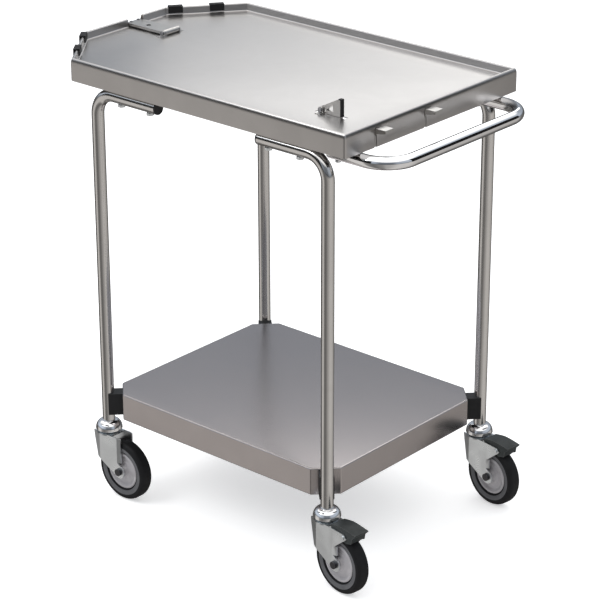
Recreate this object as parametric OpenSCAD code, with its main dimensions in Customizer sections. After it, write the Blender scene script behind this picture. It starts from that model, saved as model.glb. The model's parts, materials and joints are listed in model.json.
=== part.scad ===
// Oven tray rack trolley.
// A rack of oven trays rolls on to the sunk top deck from the open end, a spring catch stops it
// from rolling back, and a hook holds the trolley to the oven while the rack is moved across.
// Millimetres, +Z up, +X towards the push handle, floor at z = 0, origin under the middle of
// the outer box.

/* [Tray] */
// Height of the top of the tray rim above the floor
top_z = 910; // [860:5:980]
// Gap between a side rail and the tray skirt
skirt_gap = 1.5; // [0.5:0.5:8]
// Tray length past the leg axes at the docking end
dock_over = 160; // [140:5:200]
// Tray length past the leg axes at the handle end
handle_over = 52; // [46:1:70]
// Height of the tray skirt, from rim top to lower edge
tray_skirt = 45; // [42:1:60]
// Height of the rim above the deck
rim_h = 16; // [14:1:24]
// Width of the folded rim
rim_w = 8; // [6:0.5:12]
// Length of the corner cuts at the docking end
corner_x = 107; // [80:1:125]
// Width of the corner cuts at the docking end
corner_y = 137; // [100:1:160]
// Thickness of the tray sheet
tray_t = 1.5; // [1:0.1:2]
// Width of the rails under the deck
rail_w = 26; // [24:1:32]

/* [Legs] */
// Distance between leg axes along the trolley
leg_span_x = 576; // [540:4:640]
// Distance between leg axes across the trolley
leg_span_y = 472; // [440:2:478]
// Outside diameter of the leg tube
leg_d = 25; // [23:0.5:26]
// Wall of the leg tube
leg_t = 1.5; // [1.2:0.1:2]
// Radius of the bend at the top of a leg
leg_bend = 45; // [36:1:60]
// Straight length of a leg under the tray, after its bend
stub_len = 115; // [90:5:125]

/* [Shelf] */
// Height of the shelf surface above the floor
shelf_z = 226; // [220:2:320]
// Height of the shelf skirt
shelf_skirt = 56; // [50:1:58]
// Thickness of the shelf sheet
shelf_t = 1.5; // [1:0.1:2]
// Length of each corner cut of the shelf
shelf_corner = 41; // [34:1:50]
// Width of the lip folded in under the shelf
shelf_lip = 12; // [8:1:16]
// Width of a corner spacer
spacer_w = 28; // [20:1:32]

/* [Handle] */
// Outside diameter of the handle tube
handle_d = 25; // [22:0.5:26]
// Wall of the handle tube
handle_t = 1.5; // [1.2:0.1:2]
// Gap between a leg and the handle arm beside it
arm_gap = 5; // [1:0.5:30]
// Distance from the tray end to the axis of the grip
handle_reach = 66; // [62:1:90]
// Radius of the handle bends
handle_bend = 60; // [50:1:62]

/* [Casters] */
// Wheel diameter
wheel_d = 125; // [115:1:127]
// Width of the tyre
tyre_w = 28; // [24:1:32]
// Distance from the swivel axis to the axle
trail = 44; // [38:1:46]
// Height of the whole caster, floor to cap top
caster_h = 160; // [158:1:164]
// Diameter of the domed cap
cap_d = 54; // [50:1:60]
// Angle that three of the casters are turned by at rest
caster_turn = -8; // [-12:1:0]
// Angle that the front caster at the docking end is turned by at rest
first_turn = 0; // [-12:1:0]
// Thickness of the fork sheet
fork_t = 2.5; // [2:0.1:3]

/* [Rack catch and docking hook] */
// Height of the rack catch above the deck
catch_h = 34; // [28:1:36]
// Length of the rack catch, pivot to stop face
catch_len = 47; // [44:1:56]
// Width of the rack catch
catch_w = 8; // [8:1:14]
// Place of the rack catch across the tray
catch_y = -146; // [-150:1:-120]
// Distance from the tray end to the catch pivot
catch_in = 141; // [138:1:180]
// Width of the docking hook
hook_w = 40; // [32:1:44]
// Length of the docking hook
hook_len = 102; // [84:1:110]
// Place of the docking hook across the tray
hook_y = 25; // [22:1:40]
// Length of the crank arms of the release linkages
crank = 16; // [14:0.5:17]
// Distance from the rack catch to its lever, across the tray
catch_lever_off = 22; // [18:1:32]
// Distance from the docking hook to its lever, across the tray
hook_lever_off = 52; // [44:1:70]
// Turn of the catch when it is released
catch_turn = 38; // [34:1:40]
// Turn of the docking hook when it is released
hook_turn = 16; // [10:1:20]

/* [Hidden] */

// Named clearances
run_gap = 0.05;      // radial gap of a pin or shaft that turns in its hole
loose_gap = 0.2;     // radial gap of a screw or bolt in its hole
part_gap = 0.3;      // gap between faces that don't touch
slide_gap = 0.5;     // side gap of a lever or catch between its ears
slot_gap = 1;        // gap round what passes through a slot in the sheet
seat_gap = 0.1;      // gap under the head of a screw or bolt on a tube

// Leg corners, as signs along X and Y
FRONT_LEFT = [-1, -1];
FRONT_RIGHT = [1, -1];
BACK_LEFT = [-1, 1];
BACK_RIGHT = [1, 1];
CORNERS = [FRONT_LEFT, FRONT_RIGHT, BACK_LEFT, BACK_RIGHT];

// Levels and lengths that follow from the sizes above
leg_x = leg_span_x / 2;
leg_y = leg_span_y / 2;
leg_r = leg_d / 2;
tray_end = leg_x + handle_over;
dock_end = -leg_x - dock_over;
tray_y = leg_y + rail_w / 2 + skirt_gap + tray_t;
skirt_z = top_z - tray_skirt;
deck_z = top_z - rim_h;
deck_under = deck_z - tray_t;
cross_h = 12;
stub_z = skirt_z - leg_r - part_gap;
rail_z = stub_z + leg_r + part_gap;
cross_z = deck_under - cross_h;
handle_r = handle_d / 2;
handle_z = skirt_z - handle_r - slide_gap;
grip_x = tray_end + handle_reach;
arm_y = leg_y - leg_r - arm_gap - handle_r;

// The middle of the outer box: from the docking end to the outside of the grip, and from the
// caps of the back casters to the axle heads of the front ones, which their turn carries out
mid_x = (dock_end + grip_x + handle_r) / 2;

// Colours
STEEL = [0.74, 0.74, 0.73];
BRIGHT = [0.86, 0.87, 0.88];
ZINC = [0.66, 0.69, 0.70];
BLACK = [0.10, 0.10, 0.11];
GREY = [0.62, 0.62, 0.64];

// Moves a piece from the middle of the four legs to the part's own frame
module place() {
    translate([-mid_x, -mid_y, 0]) children();
}

// Puts a piece at one leg, at floor level
module at_leg(corner) {
    place() translate([corner[0] * leg_x, corner[1] * leg_y, 0]) children();
}

// Stands an X-Z outline up, from y = 0 towards +Y
module stand(thick) {
    translate([0, thick, 0]) rotate([90, 0, 0]) linear_extrude(thick) children();
}

// A round bar along Y, from y0 to y1
module bar_y(r, y0, y1) {
    translate([0, y1, 0]) rotate([90, 0, 0]) cylinder(r = r, h = y1 - y0, $fn = 40);
}

// A box between two corners
module block(low, high) {
    translate(low) cube(high - low);
}

// Tray

// Length and width of the docking corner cuts, measured at a line d inside the outline
corner_edge = sqrt(corner_x * corner_x + corner_y * corner_y);
function cut_x(d) = corner_x + d * (corner_edge - corner_x) / corner_y;
function cut_y(d) = corner_y + d * (corner_edge - corner_y) / corner_x;

// Plan of the tray, a distance d inside its outer faces
module tray_plan(d) {
    polygon([
        [tray_end - d, -tray_y + d], [tray_end - d, tray_y - d],
        [dock_end + cut_x(d), tray_y - d], [dock_end + d, tray_y - cut_y(d)],
        [dock_end + d, -tray_y + cut_y(d)], [dock_end + cut_x(d), -tray_y + d]
    ]);
}

module tray_layer(d, z0, z1) {
    translate([0, 0, z0]) linear_extrude(z1 - z0) tray_plan(d);
}

// Places that the catch, the hook and their levers share with the slots in the tray
pivot_rise = 6;
pin_r = 3;
catch_x = tray_end - catch_in;
catch_z = deck_z + pivot_rise;
catch_boss = 6;
catch_end = norm([catch_len, catch_h - pivot_rise]) + slot_gap;
hook_inset = 2;
hook_x = dock_end + hook_len + hook_inset;
hook_z = deck_z + pivot_rise;
hook_boss = 5.5;
hook_arm_w = 5;
hook_arm_y = hook_y - hook_w / 2 + 1;
hook_notch_z = deck_z - 10;
hook_notch_gap = 1.5;
lever_in = 26;
lever_drop = 8;
lever_x = tray_end - lever_in;
lever_z = deck_under - lever_drop;
lever_t = 4;
lever_arm = 5;
lever_slot_up = 17;
catch_lever_y = catch_y - catch_lever_off;
hook_lever_y = hook_y - hook_lever_off;
rod_step = 9.5;
rod_t = 3;
rod_pin_r = 2.5;
pin_over = 1.5;
crank_half = rod_pin_r + 2;

module top_tray() {
    color(STEEL) place() difference() {
        tray_layer(0, skirt_z, top_z);
        tray_layer(rim_w, deck_z, top_z + 1);
        tray_layer(tray_t, skirt_z - 1, deck_under);
        difference() {
            tray_layer(tray_t, deck_under - 1, top_z - tray_t);
            tray_layer(rim_w - tray_t, deck_under - 2, top_z);
        }
        // slot that the rack catch sinks into
        translate([catch_x, catch_y, 0])
            block([-crank_half - crank * sin(catch_turn), -catch_w / 2 - slot_gap, deck_under - 1],
                  [catch_end, catch_w / 2 + slot_gap, deck_z + 1]);
        // slot for the arm of the docking hook, and the notch for its nose
        block([hook_x - crank_half - crank * sin(hook_turn), hook_arm_y - slot_gap, deck_under - 1],
              [hook_x + crank_half + slot_gap, hook_arm_y + hook_arm_w + slot_gap, deck_z + 1]);
        block([dock_end - 1, hook_y - hook_w / 2 - hook_notch_gap, hook_notch_z],
              [dock_end + rim_w + slide_gap, hook_y + hook_w / 2 + hook_notch_gap, top_z + 1]);
        // slots for the two release levers, open at the lower edge
        for (y = [catch_lever_y, hook_lever_y])
            block([tray_end - tray_t - 1, y - lever_t / 2 - slot_gap, skirt_z - 1],
                  [tray_end + 1, y + lever_t / 2 + slot_gap, lever_z + lever_slot_up]);
    }
}

// Rubber buffers clipped over the rim of the two docking corners
buffer_t = 2.5;
buffer_len = 30;
buffer_h = 12;

module dock_buffer(along) {
    translate([dock_end + corner_x * along, tray_y - corner_y * (1 - along), top_z - buffer_h])
        rotate([0, 0, atan2(-corner_x, corner_y)]) difference() {
            block([-buffer_t, -buffer_len / 2, 0], [rim_w + buffer_t, buffer_len / 2, buffer_h + buffer_t]);
            block([-run_gap, -buffer_len, -1], [rim_w + run_gap, buffer_len, buffer_h + run_gap]);
        }
}

// Rails under the deck

rail_t = 2;

// A channel along X with its web down at this level, up to the deck
module channel(len, low) {
    inner = rail_w / 2 - rail_t;
    difference() {
        block([-len / 2, -rail_w / 2, low], [len / 2, rail_w / 2, deck_under]);
        block([-len / 2 - 1, -inner, low + rail_t], [len / 2 + 1, inner, deck_under + 1]);
    }
}

bolt_r = 4;
stub_bolt_in = 20;
stub_bolt_x = [leg_bend + stub_bolt_in, leg_bend + stub_len - stub_bolt_in];

module stub_bolt_places() {
    for (sx = [-1, 1], along = stub_bolt_x)
        translate([sx * (leg_x - along), 0, 0]) children();
}

module side_rail(side) {
    color(STEEL) place() translate([0, side * leg_y, 0]) difference() {
        channel(2 * leg_x - leg_d, rail_z);
        stub_bolt_places() translate([0, 0, rail_z - 1])
            cylinder(r = bolt_r + loose_gap, h = rail_t + 2, $fn = 32);
    }
}

dock_rail_more = 40;
dock_rail_x = dock_end + rim_w + 3 * rail_w / 2;
handle_rail_x = tray_end - lever_in - rail_w - 2;
handle_screw_r = 3;

module cross_rail_dock() {
    color(STEEL) place() translate([dock_rail_x, 0, 0])
        rotate([0, 0, 90]) channel(2 * (tray_y - corner_y) + dock_rail_more, cross_z);
}

module cross_rail_handle() {
    color(STEEL) place() translate([handle_rail_x, 0, 0]) difference() {
        rotate([0, 0, 90]) channel(2 * leg_y - rail_w - 2 * slide_gap, cross_z);
        for (side = [-1, 1]) translate([0, side * arm_y, cross_z - 1])
            cylinder(r = handle_screw_r + loose_gap, h = rail_t + 2, $fn = 32);
    }
}

// Legs

// The solid round bar that a bent tube of radius r is cut from: up from z0, round, and in
module leg_bar(r, z0, over) {
    translate([0, 0, z0]) cylinder(r = r, h = stub_z - leg_bend - z0, $fn = 64);
    translate([leg_bend, 0, stub_z - leg_bend]) rotate([90, 0, 180]) rotate_extrude(angle = 90, $fn = 96)
        translate([leg_bend, 0]) circle(r = r, $fn = 64);
    translate([leg_bend, 0, stub_z]) rotate([0, 90, 0]) cylinder(r = r, h = stub_len + over, $fn = 64);
}

shelf_bolt_r = 3;
screw_head_r = 5.5;
screw_head_h = 4;
screw_nut_h = 5;
shelf_bolt_gap = 26;
shelf_middle = shelf_z - shelf_skirt / 2;
shelf_bolt_z = [shelf_middle - shelf_bolt_gap / 2, shelf_middle + shelf_bolt_gap / 2];

// Turns X to point from a leg to the middle of the shelf
module to_shelf() {
    rotate([0, 0, 45]) children();
}

module leg(corner) {
    color(STEEL) at_leg(corner) scale_side(corner) difference() {
        leg_bar(leg_r, caster_h, 0);
        leg_bar(leg_r - leg_t, caster_h - 1, 1);
        for (along = stub_bolt_x) translate([along, 0, stub_z - leg_r - 1])
            cylinder(r = bolt_r + loose_gap, h = leg_d + 2, $fn = 32);
        to_shelf() for (z = shelf_bolt_z) translate([0, 0, z]) rotate([0, 90, 0])
            cylinder(r = shelf_bolt_r + loose_gap, h = leg_r + 1, $fn = 32);
    }
}

// Mirrors a piece made for the front left corner to the corner asked for
module scale_side(corner) {
    mirror([corner[0] > 0 ? 1 : 0, 0, 0]) mirror([0, corner[1] > 0 ? 1 : 0, 0]) children();
}

plug_t = 3;

module leg_plug() {
    translate([leg_bend + stub_len, 0, stub_z]) rotate([0, 90, 0]) {
        cylinder(r = leg_r, h = plug_t, $fn = 48);
        translate([0, 0, -10]) cylinder(r = leg_r - leg_t - loose_gap, h = 11, $fn = 48);
    }
}

module leg_plugs() {
    color(BLACK) for (corner = CORNERS) at_leg(corner) scale_side(corner) leg_plug();
}

bolt_head_h = 5;
bolt_head_r = 7.5;
nut_h = 6;

// A bolt from below through the stub and the rail, with its nut inside the rail
module stub_bolts() {
    low = stub_z - leg_r - seat_gap;
    color(ZINC) place() for (side = [-1, 1]) translate([0, side * leg_y, 0]) stub_bolt_places() {
        translate([0, 0, low - bolt_head_h]) cylinder(r = bolt_head_r, h = bolt_head_h, $fn = 6);
        translate([0, 0, low - 1]) cylinder(r = bolt_r, h = rail_z + rail_t + nut_h + 2 - low, $fn = 32);
        translate([0, 0, rail_z + rail_t]) difference() {
            cylinder(r = bolt_head_r, h = nut_h, $fn = 6);
            translate([0, 0, -1]) cylinder(r = bolt_r + run_gap, h = nut_h + 2, $fn = 32);
        }
    }
}

// Shelf

shelf_low = shelf_z - shelf_skirt;
cut_grow = sqrt(2) - 1;

// Plan of the shelf with its four corners cut, a distance d inside its outer faces
module shelf_plan(d) {
    c = shelf_corner + d * cut_grow;
    x = leg_x;
    y = leg_y;
    polygon([
        [-x + c, -y + d], [x - c, -y + d], [x - d, -y + c], [x - d, y - c],
        [x - c, y - d], [-x + c, y - d], [-x + d, y - c], [-x + d, -y + c]
    ]);
}

module shelf_layer(d, z0, z1) {
    translate([0, 0, z0]) linear_extrude(z1 - z0) shelf_plan(d);
}

// Distance from a leg axis to the flat of the shelf corner
corner_flat = shelf_corner / sqrt(2);

module shelf() {
    color(STEEL) place() difference() {
        shelf_layer(0, shelf_low, shelf_z);
        shelf_layer(shelf_t, shelf_low + shelf_t, shelf_z - shelf_t);
        shelf_layer(shelf_lip, shelf_low - 1, shelf_low + shelf_t + 1);
        for (corner = CORNERS) translate([corner[0] * leg_x, corner[1] * leg_y, 0])
            scale_side(corner) to_shelf() for (z = shelf_bolt_z) translate([corner_flat - 1, 0, z])
                rotate([0, 90, 0]) cylinder(r = shelf_bolt_r + loose_gap, h = shelf_t + 2, $fn = 32);
    }
}

stiffener_w = 60;
stiffener_h = 20;

// A channel welded under the middle of the shelf, from front skirt to back skirt
module shelf_stiffener() {
    under = shelf_z - shelf_t;
    half = leg_y - shelf_t - slide_gap;
    color(STEEL) place() difference() {
        block([-stiffener_w / 2, -half, under - stiffener_h], [stiffener_w / 2, half, under]);
        block([-stiffener_w / 2 + rail_t, -half - 1, under - stiffener_h + rail_t],
              [stiffener_w / 2 - rail_t, half + 1, under + 1]);
    }
}

spacer_h = 46;

// A plastic block that holds a shelf corner off its leg
module shelf_spacers() {
    color(BLACK) for (corner = CORNERS) at_leg(corner) scale_side(corner) to_shelf() difference() {
        block([0, -spacer_w / 2, shelf_middle - spacer_h / 2],
              [corner_flat, spacer_w / 2, shelf_middle + spacer_h / 2]);
        translate([0, 0, shelf_low - 1]) cylinder(r = leg_r + run_gap, h = shelf_skirt + 2, $fn = 64);
        for (z = shelf_bolt_z) translate([0, 0, z]) rotate([0, 90, 0])
            cylinder(r = shelf_bolt_r + loose_gap, h = corner_flat + 1, $fn = 32);
    }
}

module shelf_bolts() {
    from = leg_r - leg_t - 3;
    to = corner_flat + shelf_t;
    color(ZINC) for (corner = CORNERS) at_leg(corner) scale_side(corner) to_shelf()
        for (z = shelf_bolt_z) translate([0, 0, z]) rotate([0, 90, 0]) {
            translate([0, 0, from]) cylinder(r = shelf_bolt_r, h = to - from + 1, $fn = 32);
            translate([0, 0, to]) cylinder(r = screw_head_r, h = screw_head_h, $fn = 6);
        }
}

// Handle

handle_in = 72;
handle_block_l = 24;

// The solid U that the handle tube is cut from
module handle_bar(r, over) {
    straight = handle_in + handle_reach - handle_bend;
    for (side = [-1, 1]) {
        translate([tray_end - handle_in - over, side * arm_y, handle_z]) rotate([0, 90, 0])
            cylinder(r = r, h = straight + over, $fn = 64);
        translate([grip_x - handle_bend, side * (arm_y - handle_bend), handle_z])
            rotate([0, 0, side > 0 ? 0 : -90]) rotate_extrude(angle = 90, $fn = 96)
                translate([handle_bend, 0]) circle(r = r, $fn = 64);
    }
    translate([grip_x, -arm_y + handle_bend, handle_z]) rotate([-90, 0, 0])
        cylinder(r = r, h = 2 * (arm_y - handle_bend), $fn = 64);
}

module handle() {
    color(BRIGHT) place() difference() {
        handle_bar(handle_r, 0);
        handle_bar(handle_r - handle_t, 1);
        for (side = [-1, 1]) translate([handle_rail_x, side * arm_y, handle_z - handle_r - 1])
            cylinder(r = handle_screw_r + loose_gap, h = handle_d + 2, $fn = 32);
    }
}

// Blocks between the arms of the handle and the cross rail
module handle_blocks() {
    color(STEEL) place() for (side = [-1, 1]) translate([handle_rail_x, side * arm_y, 0]) difference() {
        block([-handle_block_l / 2, -10, handle_z + handle_r - 4], [handle_block_l / 2, 10, cross_z]);
        translate([-handle_block_l, 0, handle_z]) rotate([0, 90, 0])
            cylinder(r = handle_r + run_gap, h = 2 * handle_block_l, $fn = 64);
        translate([0, 0, handle_z]) cylinder(r = handle_screw_r + loose_gap, h = 60, $fn = 32);
    }
}

module handle_screws() {
    low = handle_z - handle_r - seat_gap;
    color(ZINC) place() for (side = [-1, 1]) translate([handle_rail_x, side * arm_y, 0]) {
        translate([0, 0, low - screw_head_h]) cylinder(r = screw_head_r, h = screw_head_h, $fn = 6);
        translate([0, 0, low - 1])
            cylinder(r = handle_screw_r, h = cross_z + rail_t + screw_nut_h + 2 - low, $fn = 32);
        translate([0, 0, cross_z + rail_t]) difference() {
            cylinder(r = screw_head_r, h = screw_nut_h, $fn = 6);
            translate([0, 0, -1]) cylinder(r = handle_screw_r + run_gap, h = screw_nut_h + 2, $fn = 32);
        }
    }
}

// Rack catch

pad_t = 3;
pad_lip = 2;
tail_w = 12;
wedge_top = 7;
catch_top = catch_h - pivot_rise - pad_lip;
catch_low = -crank;

module at_catch() {
    place() translate([catch_x, catch_y, catch_z]) children();
}

// Outline of the wedge: boss, ramp, stop face and the tail that goes down through the slot
module catch_wedge() {
    polygon([[0, catch_boss], [catch_len - pad_t - wedge_top, catch_top], [catch_len - pad_t, catch_top],
             [catch_len - pad_t, catch_low], [catch_len - tail_w, catch_low],
             [catch_boss, -catch_boss], [0, -catch_boss]]);
    circle(r = catch_boss, $fn = 40);
}

// The stop tail ends under the deck, just past the end of the slot
catch_stop = catch_end + 8;
stop_z = -pivot_rise - tray_t - part_gap;

module rack_catch() {
    half = catch_w / 2;
    window_in = 11;
    window_end = catch_len - pad_t - 16;
    color(STEEL) at_catch() {
        translate([0, -half, 0]) stand(catch_w) difference() {
            catch_wedge();
            circle(r = pin_r + run_gap, $fn = 40);
            polygon([[window_in, 1], [window_end - 2, catch_top - 11], [window_end, 1]]);
        }
        block([catch_len - tail_w, -half, catch_low], [catch_stop, half, stop_z - 3]);
        block([catch_end + slot_gap, -half, catch_low], [catch_stop, half, stop_z]);
        translate([0, -half, 0]) stand(hook_arm_w) crank_arm();
        translate([0, 0, -crank]) bar_y(rod_pin_r, catch_rod_y - catch_y - rod_t / 2 - pin_over, 1 - half);
    }
}

// An arm straight down from a pivot to a rod pin
module crank_arm() {
    difference() {
        union() {
            translate([-crank_half, -crank]) square([2 * crank_half, crank - pin_r - 1]);
            translate([0, -crank]) circle(r = crank_half, $fn = 40);
        }
        circle(r = pin_r + 1, $fn = 40);
    }
}

// Black pad on the stop face, with its lip over the top of the wedge
module catch_pad() {
    color(BLACK) at_catch() {
        block([catch_len - pad_t, -catch_w / 2, slot_gap - pivot_rise], [catch_len, catch_w / 2, catch_top]);
        block([catch_len - 2.5 * pad_t, -catch_w / 2, catch_top],
              [catch_len, catch_w / 2, catch_top + pad_lip]);
    }
}

ear_t = 2.5;

// Two ears that stand on the deck beside something of this width, with feet turned outwards
module deck_ears(width, boss) {
    foot = 9;
    inner = width / 2 + slide_gap;
    for (side = [0, 1]) mirror([0, side, 0]) {
        translate([0, inner, 0]) stand(ear_t) difference() {
            union() {
                circle(r = boss, $fn = 40);
                translate([-boss, -pivot_rise]) square([2 * boss, pivot_rise]);
            }
            circle(r = pin_r + run_gap, $fn = 40);
        }
        block([-boss, inner, -pivot_rise], [boss, inner + ear_t + foot, -pivot_rise + tray_t]);
    }
}

// A pivot pin across two ears, with a head on the front side
module ear_pin(width) {
    half = width / 2 + slide_gap + ear_t;
    bar_y(pin_r, -half - slide_gap, half + 1.5);
    bar_y(pin_r + 1.2, -half - 2.5, -half - part_gap);
}

module catch_bracket() {
    color(STEEL) at_catch() deck_ears(catch_w, catch_boss);
}

module catch_pin() {
    color(GREY) at_catch() ear_pin(catch_w);
}

// Docking hook

module at_hook() {
    place() translate([hook_x, hook_y, hook_z]) children();
}

hook_t = 5;
hook_low = -3;
hook_hole_in = 46;
hook_hole_side = -4;
hook_hole_r = 5;
nose_l = 5;
nose_in = 0.5;

module dock_hook() {
    half = hook_w / 2;
    arm_from = hook_arm_y - hook_y;
    color(STEEL) at_hook() {
        difference() {
            union() {
                block([-hook_len, -half, hook_low], [0, half, hook_low + hook_t]);
                bar_y(hook_boss, -half, half);
            }
            bar_y(pin_r + run_gap, -half - 1, half + 1);
            translate([-hook_len + hook_hole_in, hook_hole_side, hook_low - 1])
                cylinder(r = hook_hole_r, h = hook_t + 2, $fn = 32);
            for (y = hook_rivet_y) translate([nose_in + nose_l / 2 - hook_len, y, hook_low - 1])
                cylinder(r = rivet_r + run_gap, h = hook_t + 2, $fn = 24);
        }
        translate([0, arm_from, 0]) stand(hook_arm_w) crank_arm();
        translate([0, 0, -crank]) bar_y(rod_pin_r, hook_rod_y - hook_y - rod_t / 2 - pin_over, arm_from + 1);
    }
}

rivet_r = 1.5;
rivet_rim = 1.5;
rivet_head_h = 1.5;
hook_rivet_y = [-hook_w / 4, hook_w / 4];

// The hardened nose under the end of the hook, with its two rivets
module hook_nose() {
    low = hook_notch_z - hook_z + 3;
    half = hook_w / 2;
    color(GREY) at_hook() {
        block([nose_in - hook_len, -half, low], [nose_in + nose_l - hook_len, half, hook_low]);
        for (y = hook_rivet_y) translate([nose_in + nose_l / 2 - hook_len, y, 0]) {
            translate([0, 0, hook_low - 1]) cylinder(r = rivet_r, h = hook_t + 2, $fn = 24);
            translate([0, 0, hook_low + hook_t])
                cylinder(r = rivet_r + rivet_rim, h = rivet_head_h, $fn = 24);
        }
    }
}

module hook_bracket() {
    color(STEEL) at_hook() deck_ears(hook_w, hook_boss);
}

module hook_pin() {
    color(GREY) at_hook() ear_pin(hook_w);
}

// Release linkages: each lever, its rod and its crank arm make a parallelogram

rod_h = 7;
catch_rod_y = catch_lever_y + rod_step;
hook_rod_y = hook_lever_y + rod_step;

// A flat rod from the pin at (x0, z0) to the pin of a lever
module release_rod(x0, z0, y) {
    run = lever_x - x0;
    drop = lever_z - z0;
    length = norm([run, drop]);
    color(STEEL) place() translate([x0, y - rod_t / 2, z0 - crank]) rotate([0, -atan2(drop, run), 0])
        stand(rod_t) difference() {
            union() {
                for (x = [0, length]) translate([x, 0]) circle(r = crank_half, $fn = 40);
                translate([0, -rod_h / 2]) square([length, rod_h]);
            }
            for (x = [0, length]) translate([x, 0]) circle(r = rod_pin_r + run_gap, $fn = 40);
        }
}

module catch_rod() {
    release_rod(catch_x, catch_z, catch_rod_y);
}

module hook_rod() {
    release_rod(hook_x, hook_z, hook_rod_y);
}

grip_out = 50;
grip_len = 22;
grip_t = 3;
grip_lip = 6;
grip_off = 3;
grip_rise = 16.5;
lever_knee = 7;
lever_foot = 6;

// Outline of a lever: out from the pivot, up past the skirt to the grip, and down to close the slot
module lever_plate() {
    fin = lever_z - skirt_z - slot_gap;
    face = lever_in - slide_gap;
    polygon([[0, lever_arm], [lever_in - lever_knee, lever_arm + 2], [lever_in + grip_off - 1, grip_rise],
             [grip_out, grip_rise], [grip_out, grip_rise - grip_lip], [lever_in + grip_off, lever_arm + 1],
             [face, lever_arm - grip_off], [face, -fin], [face - lever_foot, -fin], [0, -lever_arm]]);
}

// A release lever: a plate in the slot, its crank arm, and a grip turned over towards the back
module release_lever(y) {
    color(STEEL) place() translate([lever_x, y - lever_t / 2, lever_z]) {
        stand(lever_t) difference() {
            union() {
                circle(r = lever_arm + slide_gap, $fn = 40);
                lever_plate();
            }
            circle(r = pin_r + run_gap, $fn = 40);
        }
        stand(lever_t) crank_arm();
        translate([0, 0, -crank])
            bar_y(rod_pin_r, lever_t - 1, lever_t / 2 + rod_step + rod_t / 2 + pin_over);
        block([lever_in + grip_off, 0, grip_rise - grip_t], [grip_out, grip_len, grip_rise]);
        block([grip_out - grip_t, 0, grip_rise - grip_lip], [grip_out, grip_len, grip_rise]);
    }
}

module catch_lever() {
    release_lever(catch_lever_y);
}

module hook_lever() {
    release_lever(hook_lever_y);
}

lever_ear_t = 2;
lever_ear = 6;
spring_room = 9;

module at_levers() {
    place() for (y = [catch_lever_y, hook_lever_y]) translate([lever_x, y, lever_z]) children();
}

// U brackets welded under the deck, one ear on each side of a lever
module lever_brackets() {
    up = deck_under - lever_z;
    inner = lever_t / 2 + slide_gap;
    color(STEEL) at_levers() {
        for (side = [0, 1]) mirror([0, side, 0]) translate([0, inner, 0]) stand(lever_ear_t) difference() {
            union() {
                circle(r = lever_ear, $fn = 40);
                translate([-lever_ear, 0]) square([2 * lever_ear, up]);
            }
            circle(r = pin_r + run_gap, $fn = 40);
        }
        block([-lever_ear, -inner - lever_ear_t, up - 1.8], [lever_ear, inner + lever_ear_t, up]);
    }
}

module lever_pins() {
    half = lever_t / 2 + slide_gap + lever_ear_t;
    color(GREY) at_levers() {
        bar_y(pin_r, -half - spring_room, half + 1);
        bar_y(pin_r + 2.5, -half - spring_room - 1.5, -half - spring_room);
    }
}

// Return springs: a coil round the free end of each lever pin
coil_turns = 5;
coil_wire = 0.6;
coil_r = pin_r + 1.4;
coil_rings = 8;
coil_sides = 6;

function coil_point(i, pitch) =
    let (turn = 360 * i / coil_rings)
    [coil_r * cos(turn), pitch * i / coil_rings, coil_r * sin(turn)];

// One corner of the wire's section at ring i
function coil_corner(i, k, pitch) =
    let (turn = 360 * i / coil_rings, a = 360 * k / coil_sides, p = coil_point(i, pitch))
    p + coil_wire * [cos(a) * cos(turn), sin(a), cos(a) * sin(turn)];

module coil(pitch) {
    last = coil_turns * coil_rings;
    n = coil_sides;
    points = [for (i = [0:last], k = [0:n - 1]) coil_corner(i, k, pitch)];
    walls = [for (i = [0:last - 1], k = [0:n - 1], half = [0, 1])
        half == 0 ? [i * n + k, i * n + (k + 1) % n, (i + 1) * n + k]
                  : [i * n + (k + 1) % n, (i + 1) * n + (k + 1) % n, (i + 1) * n + k]];
    ends = [for (k = [1:n - 2], far = [0, 1])
        far == 0 ? [0, k + 1, k] : [last * n, last * n + k, last * n + k + 1]];
    polyhedron(points, concat(walls, ends));
}

module lever_springs() {
    half = lever_t / 2 + slide_gap + lever_ear_t;
    pitch = (spring_room - 2 * coil_wire - 2 * part_gap) / coil_turns;
    color(ZINC) at_levers() translate([0, -half - spring_room + coil_wire + part_gap, 0]) coil(pitch);
}

// Casters, made about a swivel axis at the origin with the wheel trailing towards +X

wheel_r = wheel_d / 2;
tyre_half = tyre_w / 2;
fork_in = tyre_half + 4;
fork_out = fork_in + fork_t;
cap_rise = 18;
cap_t = 2;
cap_z = caster_h - cap_rise;
crown_gap = 6;
crown_z = cap_z - crown_gap;
king_r = 5;
axle_r = 4;
sleeve_r = 6;
axle_end = fork_out + 5;
axle_head = 7.5;

// How far the outside of a front caster lies in front of its swivel axis
function caster_reach(turn) = axle_end * cos(turn) - (trail + axle_head) * sin(turn);
caster_out = max(cap_d / 2, caster_reach(caster_turn), caster_reach(first_turn));
mid_y = (cap_d / 2 - caster_out) / 2;

module at_caster(corner) {
    at_leg(corner) rotate([0, 0, corner == FRONT_LEFT ? first_turn : caster_turn]) children();
}

// Domed cap that closes the top of the swivel
module caster_cap() {
    r = cap_d / 2;
    h = cap_rise;
    flat = leg_r + slot_gap;
    function dome(rr, hh, low) = [for (a = [0:10:90]) [flat + (rr - flat) * cos(a), low + hh * sin(a)]];
    translate([0, 0, cap_z]) rotate_extrude($fn = 96)
        polygon(concat([[king_r + loose_gap, h]], [[king_r + loose_gap, h - cap_t]],
            [for (i = [9:-1:0]) [flat + (r - cap_t - flat) * cos(10 * i), (h - cap_t) * sin(10 * i)]],
            dome(r, h, 0)));
}

module caster_caps() {
    color(BRIGHT) for (corner = CORNERS) at_leg(corner) caster_cap();
}

bearing_r = 21;
bearing_step = 5;
bearing_edge = 2;

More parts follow.
